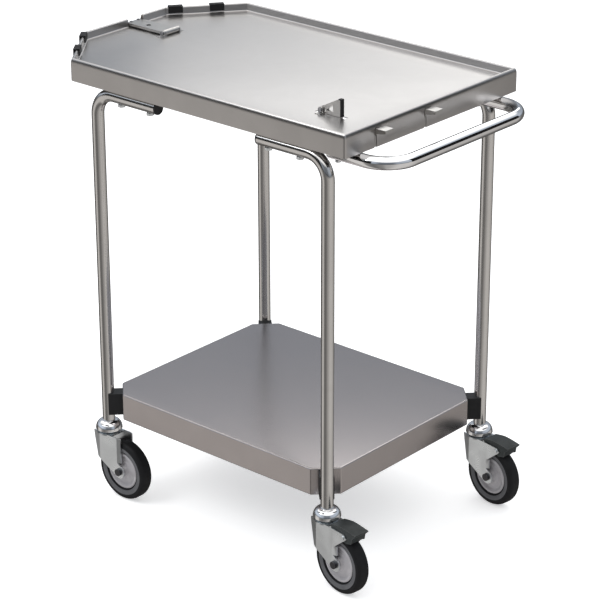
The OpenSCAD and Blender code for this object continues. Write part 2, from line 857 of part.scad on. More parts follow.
// Sealed bearing between the fork crown and the cap
module swivel_bearings() {
    low = crown_z + part_gap;
    high = caster_h - cap_t;
    mid = (low + high) / 2;
    neck = bearing_r - bearing_step;
    color(ZINC) for (corner = CORNERS) at_leg(corner) rotate_extrude($fn = 72)
        polygon([[king_r + loose_gap, low], [bearing_r - bearing_edge, low], [bearing_r, low + bearing_edge],
                 [bearing_r, mid - bearing_edge], [neck, mid], [neck, high - 1.5 * bearing_edge],
                 [neck - 1.5 * bearing_edge, high], [king_r + loose_gap, high]]);
}

king_head_r = 8;
king_head_h = 5;
king_over = 5;
expander_h = 16;

// The bolt that the fork turns on, up into the leg
module kingpins() {
    head_top = crown_z - fork_t - part_gap;
    color(ZINC) for (corner = CORNERS) at_leg(corner) {
        translate([0, 0, head_top - king_head_h]) cylinder(r = king_head_r, h = king_head_h, $fn = 6);
        translate([0, 0, head_top - 1])
            cylinder(r = king_r, h = caster_h + expander_h + king_over - head_top, $fn = 48);
    }
}

// Sleeves that grip the inside of each leg round the kingpin
module stem_expanders() {
    color(GREY) for (corner = CORNERS) at_leg(corner) translate([0, 0, caster_h + 2]) difference() {
        cylinder(r = leg_r - leg_t - run_gap, h = expander_h, $fn = 64);
        translate([0, 0, -1]) cylinder(r = king_r + run_gap, h = expander_h + 2, $fn = 48);
    }
}

brake_x = trail + 22;
brake_z = crown_z - 8;
brake_pin_r = 3;

// The flat middle of a fork side in X-Z, from its front bend to its rear bend and the axle
fork_front = -8;
fork_rear = trail - 4;
fork_knee = wheel_r + 13.5;

module fork_flat(braked) {
    polygon([[fork_front, crown_z], [fork_front, fork_knee], [trail - 11, wheel_r - 9], [trail, wheel_r],
             [trail + 11, wheel_r + 8.5], [fork_rear, wheel_r + 19], [fork_rear, crown_z]]);
    translate([trail, wheel_r]) circle(r = 14, $fn = 64);
    if (braked) {
        // ear that carries the brake pin
        polygon([[fork_rear, crown_z], [brake_x - 2, crown_z - 1], [brake_x + 10, brake_z],
                 [trail, crown_z - 35], [fork_rear, crown_z - 35]]);
        translate([brake_x, brake_z]) circle(r = 7, $fn = 40);
    }
}

// A strip of fork sheet between x0 and x1 that bends in by some millimetres at x1
module fork_bend(x0, x1, bend_in) {
    polygon([[x0, -fork_out], [x1, -fork_out + bend_in], [x1, -fork_in + bend_in], [x0, -fork_in]]);
}

// One side of a fork, with its front and rear edges bent in towards the wheel
module fork_side(braked) {
    lip_top = braked ? crown_z - 35 : crown_z;
    front_edge = -26;
    translate([0, -fork_out, 0]) stand(fork_t) fork_flat(braked);
    intersection() {
        linear_extrude(crown_z) fork_bend(fork_front, front_edge, 3);
        translate([0, -fork_out, 0]) stand(fork_out) polygon([
            [fork_front, crown_z], [front_edge, crown_z], [front_edge + 2, crown_z - 14],
            [front_edge + 11, fork_knee + 4.5], [fork_front, fork_knee]]);
    }
    translate([0, 0, wheel_r + 19]) linear_extrude(lip_top - wheel_r - 19)
        fork_bend(fork_rear, trail + 4, 2.5);
}

module fork(corner, braked) {
    color(ZINC) at_caster(corner) difference() {
        union() {
            for (side = [0, 1]) mirror([0, side, 0]) fork_side(braked);
            translate([0, 0, crown_z - fork_t]) {
                cylinder(r = cap_d / 2 - 2, h = fork_t, $fn = 72);
                block([fork_front, -fork_out, 0], [fork_rear - 16, fork_out, fork_t]);
            }
        }
        translate([0, 0, crown_z - fork_t - 1]) cylinder(r = king_r + run_gap, h = fork_t + 2, $fn = 48);
        translate([trail, 0, wheel_r]) bar_y(axle_r + run_gap, -fork_out - 1, fork_out + 1);
        if (braked)
            translate([brake_x, 0, brake_z]) bar_y(brake_pin_r + run_gap, -fork_out - 1, fork_out + 1);
    }
}

// Axle bolt, nut and the sleeve that the hub turns on
module axle(corner) {
    color(ZINC) at_caster(corner) translate([trail, 0, wheel_r]) {
        bar_y(axle_head, -axle_end, -fork_out);
        bar_y(axle_r, -fork_out - 1, axle_end - 0.5);
        difference() {
            translate([0, axle_end, 0]) rotate([90, 0, 0])
                cylinder(r = axle_head, h = axle_end - fork_out, $fn = 6);
            bar_y(axle_r + run_gap, fork_out - 1, axle_end + 1);
        }
        difference() {
            bar_y(sleeve_r, -fork_in, fork_in);
            bar_y(axle_r + run_gap, -fork_in - 1, fork_in + 1);
        }
    }
}

hub_r = 39;

module hub(corner) {
    side = tyre_half + 1;
    profile = [[sleeve_r + run_gap, side], [11, side], [14, side - 6], [30, side - 7],
               [34, side - 3], [hub_r, side - 3]];
    both = concat(profile, [for (i = [len(profile) - 1:-1:0]) [profile[i][0], -profile[i][1]]]);
    color(GREY) at_caster(corner) translate([trail, 0, wheel_r]) rotate([90, 0, 0])
        rotate_extrude($fn = 96) polygon(both);
}

shoulder = 8;

module tyre(corner) {
    inner = wheel_r - shoulder;
    arc = [for (a = [0:15:90]) [inner + shoulder * sin(a), tyre_half + shoulder * (cos(a) - 1)]];
    bead = [[hub_r + run_gap, tyre_half - 2], [hub_r + 6, tyre_half - 2], [hub_r + 9, tyre_half]];
    profile = concat(bead, arc);
    both = concat(profile, [for (i = [len(profile) - 1:-1:0]) [profile[i][0], -profile[i][1]]]);
    color(BLACK) at_caster(corner) translate([trail, 0, wheel_r]) rotate([90, 0, 0])
        rotate_extrude($fn = 96) polygon(both);
}

// Brakes on the two casters at the handle end

pedal_half = fork_in - 0.6;
pedal_cheek = 2.2;
pedal_tip = 30;
pedal_back = 36;
shoe_angle = 29;
shoe_gap = 3.3;
shoe_t = 3;
shoe_half = 6;

module brake_pin(corner) {
    color(ZINC) at_caster(corner) translate([brake_x, 0, brake_z]) {
        bar_y(brake_pin_r, -fork_out - 0.5, fork_out + 0.5);
        bar_y(brake_pin_r + 1.5, -fork_out - 2, -fork_out);
    }
}

// A point on the line of the shoe's back, measured from the brake pin
function shoe_back(along) =
    let (r = wheel_r + shoe_gap + shoe_t)
    [trail - brake_x + r * sin(shoe_angle) + along * cos(shoe_angle),
     wheel_r - brake_z + r * cos(shoe_angle) - along * sin(shoe_angle)];

// The pedal: a body from the cap to the tip, round its pin, with a cheek on each side of the tyre
module brake_pedal(corner) {
    top = [[-pedal_back, 13], [-24, 15.5], [-11, 17.5], [4, 17], [pedal_tip, 14]];
    color(BLACK) at_caster(corner) translate([brake_x, 0, brake_z]) difference() {
        union() {
            translate([0, -pedal_half, 0]) stand(2 * pedal_half) {
                circle(r = 5.5, $fn = 40);
                polygon(concat([[-pedal_back, 9]], top, [[pedal_tip, 12], [22, 4], [20, -5],
                    shoe_back(shoe_half), shoe_back(-shoe_half), [0, 0], [-10, 2], [-22, 5]]));
            }
            for (side = [0, 1]) mirror([0, side, 0]) translate([0, -pedal_half, 0]) stand(pedal_cheek)
                polygon([[-pedal_back, 9], [-pedal_back, 12], [22, 4],
                    [20, -7], [6, -11], [-10, -6], [-22, 1]]);
        }
        bar_y(brake_pin_r + run_gap, -pedal_half - 1, pedal_half + 1);
    }
}

// The shoe that the pedal presses on the tread
module brake_shoe(corner) {
    low = wheel_r + shoe_gap;
    color(GREY) at_caster(corner) translate([trail, 0, wheel_r]) rotate([0, shoe_angle, 0])
        block([-shoe_half, -10, low], [shoe_half, 10, low + shoe_t]);
}

module side_rail_front() { side_rail(-1); }
module side_rail_back() { side_rail(1); }

module dock_buffers() {
    color(BLACK) place() for (side = [0, 1]) mirror([0, side, 0]) {
        dock_buffer(0.13);
        dock_buffer(0.62);
    }
}

top_tray();
side_rail_front();
side_rail_back();
cross_rail_dock();
cross_rail_handle();
leg(FRONT_LEFT);  // leg_front_left
leg(FRONT_RIGHT);  // leg_front_right
leg(BACK_LEFT);  // leg_back_left
leg(BACK_RIGHT);  // leg_back_right
leg_plugs();
stub_bolts();
shelf();
shelf_stiffener();
shelf_spacers();
shelf_bolts();
handle();
handle_blocks();
handle_screws();
dock_buffers();
catch_bracket();
catch_pin();
rack_catch();
catch_pad();
catch_rod();
catch_lever();
hook_bracket();
hook_pin();
dock_hook();
hook_nose();
hook_rod();
hook_lever();
lever_brackets();
lever_pins();
lever_springs();
caster_caps();
swivel_bearings();
kingpins();
stem_expanders();
fork(FRONT_LEFT, false);  // fork_front_left
fork(FRONT_RIGHT, true);  // fork_front_right
fork(BACK_LEFT, false);  // fork_back_left
fork(BACK_RIGHT, true);  // fork_back_right
axle(FRONT_LEFT);  // axle_front_left
axle(FRONT_RIGHT);  // axle_front_right
axle(BACK_LEFT);  // axle_back_left
axle(BACK_RIGHT);  // axle_back_right
hub(FRONT_LEFT);  // hub_front_left
hub(FRONT_RIGHT);  // hub_front_right
hub(BACK_LEFT);  // hub_back_left
hub(BACK_RIGHT);  // hub_back_right
tyre(FRONT_LEFT);  // tyre_front_left
tyre(FRONT_RIGHT);  // tyre_front_right
tyre(BACK_LEFT);  // tyre_back_left
tyre(BACK_RIGHT);  // tyre_back_right
brake_pin(FRONT_RIGHT);  // brake_pin_front
brake_pin(BACK_RIGHT);  // brake_pin_back
brake_pedal(FRONT_RIGHT);  // brake_pedal_front
brake_pedal(BACK_RIGHT);  // brake_pedal_back
brake_shoe(FRONT_RIGHT);  // brake_shoe_front
brake_shoe(BACK_RIGHT);  // brake_shoe_back
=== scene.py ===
# %% [markdown]
# # An oven tray rack trolley, dressed for its picture
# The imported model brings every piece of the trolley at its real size, already in its place. This
# lesson gives those pieces their looks: folded sheet with real bends, hollow bent tubes, turned
# wheels, and a metal, rubber or plastic finish for each. Lengths are in metres, +Z is up, +X runs
# towards the push handle, and the floor is z = 0.

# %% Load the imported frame
import json
import math

import bmesh
import bpy
import numpy as np
from mathutils import Euler, Matrix, Vector


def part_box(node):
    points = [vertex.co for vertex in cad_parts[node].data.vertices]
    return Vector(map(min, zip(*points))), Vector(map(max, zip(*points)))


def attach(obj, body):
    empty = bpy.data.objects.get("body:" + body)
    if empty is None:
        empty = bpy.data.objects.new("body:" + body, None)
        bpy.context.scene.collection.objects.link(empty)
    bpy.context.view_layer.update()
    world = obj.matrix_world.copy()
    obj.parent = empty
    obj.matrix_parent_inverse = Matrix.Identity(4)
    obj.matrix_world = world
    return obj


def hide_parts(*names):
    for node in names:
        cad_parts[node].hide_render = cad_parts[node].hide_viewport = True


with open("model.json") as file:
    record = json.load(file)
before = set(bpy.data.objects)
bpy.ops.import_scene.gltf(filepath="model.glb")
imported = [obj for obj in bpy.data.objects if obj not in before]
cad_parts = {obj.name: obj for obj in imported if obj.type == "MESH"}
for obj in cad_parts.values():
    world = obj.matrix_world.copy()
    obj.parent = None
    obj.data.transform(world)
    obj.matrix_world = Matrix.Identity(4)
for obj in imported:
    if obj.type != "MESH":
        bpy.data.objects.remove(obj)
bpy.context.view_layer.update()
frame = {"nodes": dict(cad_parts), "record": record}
behaviour = frame["record"]["behaviour"]
node_body = {node: body for body, nodes in behaviour["bodies"].items() for node in nodes}
node_slot = {part["node"]: part["material_slot"] for part in frame["record"]["subparts"]}
joints = {joint["name"]: joint for joint in behaviour["joints"]}

# %% [markdown]
# ## Camera
# The photograph was taken with a long lens from a little above the tray, off the corner between
# the handle and the front side. Its place, turn and lens were fitted to marks on the trolley and to
# its outline. A camera looks along its own -Z, so it is tipped up from looking straight down, then
# turned about the upright axis, with a last small roll about its own line of sight.

# %% Set the camera
CAMERA_PLACE = (2.90302, -3.29990, 2.29467)
CAMERA_TURN, CAMERA_DOWN, CAMERA_ROLL = 41.005, 23.095, -0.107
SENSOR_WIDTH, LENS, FARTHEST = 36, 145.525, 30
camera = bpy.data.objects.new("camera", bpy.data.cameras.new("camera"))
camera.data.sensor_width = SENSOR_WIDTH
camera.data.lens = LENS
camera.data.clip_end = FARTHEST
tip = Euler((math.radians(90 - CAMERA_DOWN), 0, math.radians(CAMERA_TURN))).to_matrix()
roll = Matrix.Rotation(math.radians(CAMERA_ROLL), 3, "Z")
camera.matrix_world = Matrix.Translation(CAMERA_PLACE) @ (tip @ roll).to_4x4()
bpy.context.scene.collection.objects.link(camera)
bpy.context.scene.camera = camera
bpy.context.scene.view_settings.view_transform = "Standard"
print("camera", [round(v, 3) for v in camera.location])

# %% [markdown]
# ## Helpers for shader nodes
# Every material, the floor and the room are node trees. They could be drawn by hand in the shader
# editor, but then they live in one file only. Written out in full they are long, so one helper adds
# a node, sets its options, and fills its inputs: a plain value is typed in, and an output of
# another node is wired in. Two more are built on it, for what the room needs several times: a ramp
# of light levels, and a number that rises smoothly between two places.

# %% Add a shader node
def add(tree, kind, inputs=None, **options):
    """Add a node to a tree, set its options, and type or wire its inputs."""
    made = tree.nodes.new("ShaderNode" + kind)
    for name, value in options.items():
        setattr(made, name, value)
    for name, value in (inputs or {}).items():
        if isinstance(value, bpy.types.NodeSocket):
            tree.links.new(value, made.inputs[name])
        else:
            made.inputs[name].default_value = value
    return made


def light_ramp(tree, factor, stops, tint):
    """Levels of light of one tint at places from 0 to 1 along a factor, eased between them."""
    ramp = add(tree, "ValToRGB", {"Fac": factor})
    ramp.color_ramp.interpolation = "EASE"
    while len(ramp.color_ramp.elements) < len(stops):
        ramp.color_ramp.elements.new(1)
    for element, (place, level) in zip(ramp.color_ramp.elements, stops):
        element.position = place
        element.color = (*[level * part for part in tint], 1)
    return ramp.outputs["Color"]


def rise(tree, value, start, end, low=0.0):
    """A number that rises from low to 1, eased, as a value goes from start to end."""
    return add(tree, "MapRange", {"Value": value, "From Min": start, "From Max": end, "To Min": low},
               interpolation_type="SMOOTHSTEP").outputs["Result"]


print("helpers for nodes ready")


# %% [markdown]
# ## The studio
# Polished metal has hardly a colour of its own: it shows the room. In the photograph the trolley
# stands on white, but its metal also shows a grey wall behind, a bright ceiling, and a floor that is
# light on some sides and dark on others. A real room could be built all round it. It is simpler to
# let the world be plain white to the camera, and to reflections two rings of light and dark, one
# round the horizon and one below it, told apart by the direction of each ray.

# %% Light levels round the room
def ring_of_levels(levels):
    """Stops for a ramp on a radial gradient: it counts from -180 to 180 degrees, 0 being +X."""
    return [((angle + 180) / 360, level) for angle, level in levels]


HORIZON = [(-180, 0.52), (-150, 0.66), (-110, 0.66), (-88, 0.45), (-66, 0.18), (-34, 0.18),
           (-12, 0.42), (15, 0.50), (75, 0.50), (90, 0.40), (112, 0.35), (165, 0.42)]
HORIZON_TINT, CEILING, WHITE = (0.91, 1.0, 1.13), (1.2, 1.2, 1.2, 1), (1, 1, 1, 1)
FLOOR = [(-180, 0.16), (-166, 0.07), (-156, 0.16), (-147, 0.60), (-122, 0.61), (-108, 0.22),
         (-88, 0.14), (-66, 0.22), (-45, 0.38), (-8, 0.56), (22, 0.56), (46, 0.46), (58, 0.42),
         (78, 0.14), (112, 0.07), (150, 0.10)]
FLOOR_TINT = (1.04, 1.0, 0.96)
CEILING_STARTS, CEILING_FULL = 0.49, 0.64
AT_FLOOR, FADED_UP_TO, FLOOR_EDGE = 0.35, 0.2, -0.05
print(len(HORIZON), "levels round the horizon,", len(FLOOR), "below it")

# %% [markdown]
# A ray's direction has a height between -1 and 1. The ceiling takes over well up, the horizon dims
# towards the floor as walls do, and the lower ring begins just below the level.

# %% Build the room
world = bpy.data.worlds.new("studio")
bpy.context.scene.world = world
world.use_nodes = True
room = world.node_tree
ray = add(room, "TexCoord").outputs["Generated"]
azimuth = add(room, "TexGradient", {"Vector": ray}, gradient_type="RADIAL").outputs["Fac"]
height = add(room, "SeparateXYZ", {0: ray}).outputs["Z"]
above = rise(room, height, CEILING_STARTS, CEILING_FULL)
ring = light_ramp(room, azimuth, ring_of_levels(HORIZON), HORIZON_TINT)
fade = rise(room, height, 0.0, FADED_UP_TO, AT_FLOOR)
dimmed = add(room, "VectorMath", {0: ring, 3: fade}, operation="SCALE").outputs["Vector"]
walls = add(room, "Mix", {"Factor": above, 6: dimmed, 7: CEILING}, data_type="RGBA").outputs[2]
below = light_ramp(room, azimuth, ring_of_levels(FLOOR), FLOOR_TINT)
level = rise(room, height, FLOOR_EDGE, 0.0)
around = add(room, "Mix", {"Factor": level, 6: below, 7: walls}, data_type="RGBA").outputs[2]
to_camera = add(room, "LightPath").outputs["Is Camera Ray"]
seen = add(room, "Mix", {"Factor": to_camera, 6: around, 7: WHITE}, data_type="RGBA")
room.links.new(seen.outputs[2], room.nodes["Background"].inputs["Color"])
print("room with", len(room.nodes), "nodes")

# %% [markdown]
# ## The floor
# The real floor is a white sheet that takes soft shadows. A white plane lit by the lamps alone
# would come out grey, so it glows a little as well. Metal must not mirror that white evenly, or its
# lower half turns flat. So reflections pass through the floor and meet the world's lower ring.

# %% Lay the floor
FLOOR_HALF, FLOOR_UNDER = 8, 0.0005
FLOOR_COLOUR, FLOOR_ROUGH, FLOOR_GLOW = (0.93, 0.93, 0.93, 1), 0.9, 0.50
floor_mesh = bpy.data.meshes.new("floor")
corner = FLOOR_HALF * np.array([(-1, -1), (1, -1), (1, 1), (-1, 1)])
flat = np.column_stack([corner, np.full(4, -FLOOR_UNDER)])
floor_mesh.from_pydata(flat.tolist(), [], [(0, 1, 2, 3)])
floor = bpy.data.objects.new("floor", floor_mesh)
bpy.context.scene.collection.objects.link(floor)
pale = bpy.data.materials.new("pale floor")
pale.use_nodes = True
paint = pale.node_tree.nodes["Principled BSDF"]
paint.inputs["Base Color"].default_value = FLOOR_COLOUR
paint.inputs["Roughness"].default_value = FLOOR_ROUGH
paint.inputs["Emission Color"].default_value = WHITE
paint.inputs["Emission Strength"].default_value = FLOOR_GLOW
floor_mesh.materials.append(pale)
floor.visible_glossy = False
print("floor of", 2 * FLOOR_HALF, "m")

# %% [markdown]
# ## Two soft lights
# A large lamp in front and above gives the shadows and the gleam on edges. A low panel stands close
# behind the tray. The sunk deck mirrors it, so the deck goes from blue-grey at the far end to nearly
# white by the near corner, while the shelf, which looks past its lower edge, stays dark. The shelf's
# sheet is also coloured darker than the tray's, as painted shade from the tray above.

# %% Hang the lamp and the panel
def soft_light(name, size, power, stands_at, looks_at):
    """An area light, width by height, that stands at one point and faces another."""
    lamp = bpy.data.objects.new(name, bpy.data.lights.new(name, "AREA"))
    lamp.data.shape = "RECTANGLE"
    lamp.data.size, lamp.data.size_y = size
    lamp.data.energy = power
    lamp.visible_camera = False
    towards = Vector(looks_at) - Vector(stands_at)
    lamp.rotation_euler = towards.to_track_quat("-Z", "Y").to_euler()
    lamp.location = stands_at
    bpy.context.scene.collection.objects.link(lamp)
    return lamp


soft_light("key", (1.6, 1.6), 28, (-1.2, -2.4, 3.2), (0, 0, 0.5))
panel = soft_light("back panel", (1.25, 0.62), 4.3, (-0.57, 1.10, 1.66), (0.08, 0.34, 1.66))
panel.data.color = (1.0, 0.985, 0.95)
print("a lamp and a panel")

# %% [markdown]
# ## Two black cards
# The thin dark line under the rim and the black bands on the handle are reflections of dark things
# close by. A photographer sets black cards for this. Dark patches in the world would blacken the
# deck from other sides too, while a card close by is met only by what lies near it. The cards are
# hidden from the camera and throw no shadow.

# %% Stand the cards
def black_card(name, centre, width, height, faces):
    """An upright card: centre +- width / 2 to the sides and +- height / 2 up and down."""
    aside = np.array([-faces[1], faces[0], 0]) / math.hypot(*faces[:2]) * width / 2
    up = np.array([0, 0, height / 2])
    around = np.array([(-1, -1), (1, -1), (1, 1), (-1, 1)])
    points = np.array(centre) + around[:, :1] * aside + around[:, 1:] * up
    mesh = bpy.data.meshes.new(name)
    mesh.from_pydata(points.tolist(), [], [(0, 1, 2, 3)])
    mesh.materials.append(card_black)
    card = bpy.data.objects.new(name, mesh)
    card.visible_camera = card.visible_diffuse = card.visible_shadow = False
    bpy.context.scene.collection.objects.link(card)
    return card


card_black = bpy.data.materials.new("black card")
card_black.use_nodes = True
soot = card_black.node_tree.nodes["Principled BSDF"]
soot.inputs["Base Color"].default_value = (0.01, 0.01, 0.01, 1)
soot.inputs["Specular IOR Level"].default_value = 0
black_card("card in front", (-0.50, -0.85, 1.03), 1.7, 0.43, (0, 1))
black_card("card past the handle", (0.95, 0.62, 1.04), 1.05, 0.48, (-1, 0))
print("two cards")

# %% [markdown]
# ## Effects that several finishes share
# Some effects come back in many finishes: streaks, marks, rubbed edges, a moulded skin. Copied from
# material to material they would drift apart. So each is a node group with named inputs and
# outputs, built once, and a material only says how strong it wants it.

# %% Make a node group
def group(name, inputs, outputs):
    """A shader node group with number inputs, by name and value, a Vector, and its outputs."""
    made = bpy.data.node_groups.new(name, "ShaderNodeTree")
    made.interface.new_socket("Vector", in_out="INPUT", socket_type="NodeSocketVector")
    for label, value in inputs.items():
        socket = made.interface.new_socket(label, in_out="INPUT", socket_type="NodeSocketFloat")
        socket.default_value = value
    for label in outputs:
        made.interface.new_socket(label, in_out="OUTPUT", socket_type="NodeSocketFloat")
    return made, made.nodes.new("NodeGroupInput"), made.nodes.new("NodeGroupOutput")


def close(made, leaving, **results):
    """Wire the results to a group's outputs."""
    for label, socket in results.items():
        made.links.new(socket, leaving.inputs[label])
    print("group", made.name, "gives", ", ".join(results))


# %% [markdown]
# Stainless sheet is brushed in one direction before it is folded. A wave pattern would be too even,
# so the streaks are a fine noise that a Mapping node in the material stretches along the brush.

# %% Brushed streaks
brushed, enter, leave = group("brushed streaks", {"Fineness": 60, "Waviness": 0.3}, ["Streak"])
fine = add(brushed, "TexNoise", {"Vector": enter.outputs["Vector"], "Scale": enter.outputs["Fineness"],
                                 "Detail": 3, "Distortion": enter.outputs["Waviness"]})
close(brushed, leave, Streak=fine.outputs["Fac"])

# %% [markdown]
# Everything that hands and cloths touch gets faint clouds where it shines a little less. They could
# be painted, but a soft noise at hand size does the same on every piece at once.

# %% Cloudy handling marks
cloudy, enter, leave = group("handling marks", {"Size": 14}, ["Cloud"])
cloud = add(cloudy, "TexNoise", {"Vector": enter.outputs["Vector"], "Scale": enter.outputs["Size"],
                                 "Detail": 4, "Roughness": 0.6, "Distortion": 0.6})
close(cloudy, leave, Cloud=rise(cloudy, cloud.outputs["Fac"], 0.35, 0.68))

# %% [markdown]
# Plating and plastic rub through on their edges first, and a bent edge catches the light. Both are
# painted here as one lighter colour on the edges: partly wear, partly a painted highlight. The Bevel
# node gives the normal of a rounded copy of the surface. It differs from the true normal only near
# an edge, so how far they differ is a mask of edges, which needs no texture painting and no vertex
# colours.

# %% Edge wear and painted edge highlights
edge_wear_and_highlight, enter, leave = group("rubbed edges", {"Reach": 0.0012}, ["Edge"])
rounded_normal = add(edge_wear_and_highlight, "Bevel", {"Radius": enter.outputs["Reach"]}, samples=4).outputs["Normal"]
true_normal = add(edge_wear_and_highlight, "NewGeometry").outputs["Normal"]
alike = add(edge_wear_and_highlight, "VectorMath", {0: rounded_normal, 1: true_normal}, operation="DOT_PRODUCT")
near = add(edge_wear_and_highlight, "MapRange", {"Value": alike.outputs["Value"], "From Min": 0.995, "From Max": 0.86})
patchy = add(edge_wear_and_highlight, "TexNoise", {"Vector": enter.outputs["Vector"], "Scale": 160, "Detail": 3})
patchy_wear_and_highlight = add(edge_wear_and_highlight, "Math", {0: near.outputs["Result"], 1: patchy.outputs["Fac"]}, operation="MULTIPLY")
close(edge_wear_and_highlight, leave, Edge=patchy_wear_and_highlight.outputs["Value"])

# %% [markdown]
# A mould leaves a skin of fine pits on rubber and nylon. The distance to the nearest point of a
# Voronoi pattern is such a field of pits, and it costs far less than real dents would.

# %% Moulded skin
moulded, enter, leave = group("moulded skin", {"Grain": 1400}, ["Skin"])
pits = add(moulded, "TexVoronoi", {"Vector": enter.outputs["Vector"], "Scale": enter.outputs["Grain"]})
close(moulded, leave, Skin=pits.outputs["Distance"])

# %% [markdown]
# ## Finishes
# Each finish of the trolley is one material with a Principled shader. All of them start alike, with
# Object coordinates for their patterns, so a few helpers hold that start. Object coordinates are
# used because every piece keeps its place in its mesh: a pattern then stays put when a joint moves.

# %% Place a group in a material
def use(tree, effect, **values):
    """Place a node group in a material's tree, with its own values."""
    placed = tree.nodes.new("ShaderNodeGroup")
    placed.node_tree = effect
    for label, value in values.items():
        if isinstance(value, bpy.types.NodeSocket):
            tree.links.new(value, placed.inputs[label])
        else:
            placed.inputs[label].default_value = value
    return placed.outputs


def blank(name):
    """A new material, its tree, its Principled shader and its Object coordinates."""
    material = bpy.data.materials.new(name)
    material.use_nodes = True
    tree = material.node_tree
    return material, tree, tree.nodes["Principled BSDF"], add(tree, "TexCoord").outputs["Object"]


print("helpers for materials ready")


# %% [markdown]
# No real finish is one flat colour. Sheet has streaks, rubber has clouds, and an edge is brighter
# than what lies round it: partly from wear where it is touched a lot, partly a painted highlight
# where a bent edge catches the light. Each of these could be painted into a picture and wrapped
# round the piece. Here a pattern's factor mixes two colours or two numbers instead, which stays
# sharp at any distance and needs no unwrapping.

# %% Colours and numbers that wander
def tinted(tree, factor, low, high):
    """A colour between two, by a factor that changes over the surface. Each is a plain colour or an
    output of another node."""
    low, high = (c if isinstance(c, bpy.types.NodeSocket) else (*c, 1) for c in (low, high))
    return add(tree, "Mix", {"Factor": factor, 6: low, 7: high}, data_type="RGBA").outputs[2]


def between(tree, factor, low, high):
    """A number between two, by a factor that changes over the surface."""
    return add(tree, "MapRange", {"Value": factor, "To Min": low, "To Max": high}).outputs["Result"]


def toward_wear_and_highlight(tree, place, tone, edge, bright):
    """A tone that turns brighter at edges, as far as edge says: wear and a painted highlight."""
    edge_wear_and_highlight_mask = use(tree, edge_wear_and_highlight, Vector=place)["Edge"]
    amount = add(tree, "Math", {0: edge_wear_and_highlight_mask, 1: edge}, operation="MULTIPLY", use_clamp=True)
    return tinted(tree, amount.outputs["Value"], tone, bright)


print("colours and numbers can wander")

# %% [markdown]
# ### Metal
# Metal is a Principled shader with Metallic 1, whose base colour tints what it reflects. An even
# roughness looks like paint, so it wanders with the streaks and the handling marks, and a shallow
# bump along the streaks spreads the highlight as a brush does. In the Mapping node the smallest of
# the three numbers is the direction that the streaks run.

# %% Metal with streaks
WEAR_AND_HIGHLIGHT_METAL = (0.85, 0.86, 0.87)
STREAK_DEPTH = 0.0002


def metal(name, colour, rough, run, bump=0.05, marks=0.05, edge=0.0, wander=0.15):
    """Metal of one colour with streaks where run is smallest, marks, and edges lightened by wear and a
    painted highlight.
    """
    material, tree, shader, place = blank(name)
    shader.inputs["Metallic"].default_value = 1
    lines = add(tree, "Mapping", {"Vector": place, "Scale": run}).outputs["Vector"]
    streak = use(tree, brushed, Vector=lines)["Streak"]
    cloud = use(tree, cloudy, Vector=place)["Cloud"]
    mixed = add(tree, "Math", {0: streak, 1: cloud}, operation="MULTIPLY").outputs["Value"]
    dark, light = 1 - marks, 1 + marks
    tone = tinted(tree, mixed, [light * c for c in colour], [dark * c for c in colour])
    if edge:
        # Edges turn to a lighter metal: partly wear, partly a painted highlight.
        tone = toward_wear_and_highlight(tree, place, tone, edge, WEAR_AND_HIGHLIGHT_METAL)
    tree.links.new(tone, shader.inputs["Base Color"])
    both = add(tree, "Math", {0: streak, 1: cloud}, operation="ADD").outputs["Value"]
    shine = between(tree, both, rough * (1 - wander), rough * (1 + wander))
    tree.links.new(shine, shader.inputs["Roughness"])
    raised = add(tree, "Bump", {"Height": streak, "Strength": bump, "Distance": STREAK_DEPTH})
    tree.links.new(raised.outputs["Normal"], shader.inputs["Normal"])
    return material


print("metal can be made")

# %% [markdown]
# ### Rubber and plastic
# Tyres, buffers and spacers are black because soot is mixed in, and they shine far less than metal.
# A black base with full specular light goes grey in a white room, so the specular level is lowered.

# %% Rubber and moulded plastic
CLOUD_SIZE, PIT_DEPTH = 22, 0.0003
LIGHT_CLOUD, DARK_CLOUD, SMOOTH_CLOUD, DULL_CLOUD = 1.12, 0.9, 0.85, 1.15


def moulding(name, colour, rough, skin=0.15, grain=1400, edge=0.3, gloss=0.25,
             wear_and_highlight_colour=(0.24, 0.24, 0.24)):
    """Moulded plastic or rubber: a fine skin, cloudy marks, and edges lightened by wear and a painted
    highlight.
    """
    material, tree, shader, place = blank(name)
    shader.inputs["Specular IOR Level"].default_value = gloss
    cloud = use(tree, cloudy, Vector=place, Size=CLOUD_SIZE)["Cloud"]
    tone = tinted(tree, cloud, [c * LIGHT_CLOUD for c in colour], [c * DARK_CLOUD for c in colour])
    # Edges turn to a lighter tone: partly wear, partly a painted highlight.
    tone = toward_wear_and_highlight(tree, place, tone, edge, wear_and_highlight_colour)
    tree.links.new(tone, shader.inputs["Base Color"])
    shine = between(tree, cloud, rough * SMOOTH_CLOUD, rough * DULL_CLOUD)
    tree.links.new(shine, shader.inputs["Roughness"])
    pits = use(tree, moulded, Vector=place, Grain=grain)["Skin"]
    raised = add(tree, "Bump", {"Height": pits, "Strength": skin, "Distance": PIT_DEPTH})
    tree.links.new(raised.outputs["Normal"], shader.inputs["Normal"])
    return material


print("rubber and plastic can be made")

# %% [markdown]
# ### The finishes of this trolley
# Sheet is brushed stainless, the legs are drawn tube, the handle and the caster caps are chromed,
# forks and fasteners are zinc plated, and pins are plain ground steel. Tints and levels were
# compared with the photograph: the sheet is a warm grey, the zinc a cold one.

# %% Finishes of metal
ALONG_X, ALONG_Y, ALONG_Z = (0.4, 30, 30), (30, 0.4, 30), (30, 30, 0.4)
tray_sheet = metal("tray sheet", (0.53, 0.515, 0.505), 0.30, ALONG_X, marks=0.03, wander=0.05)
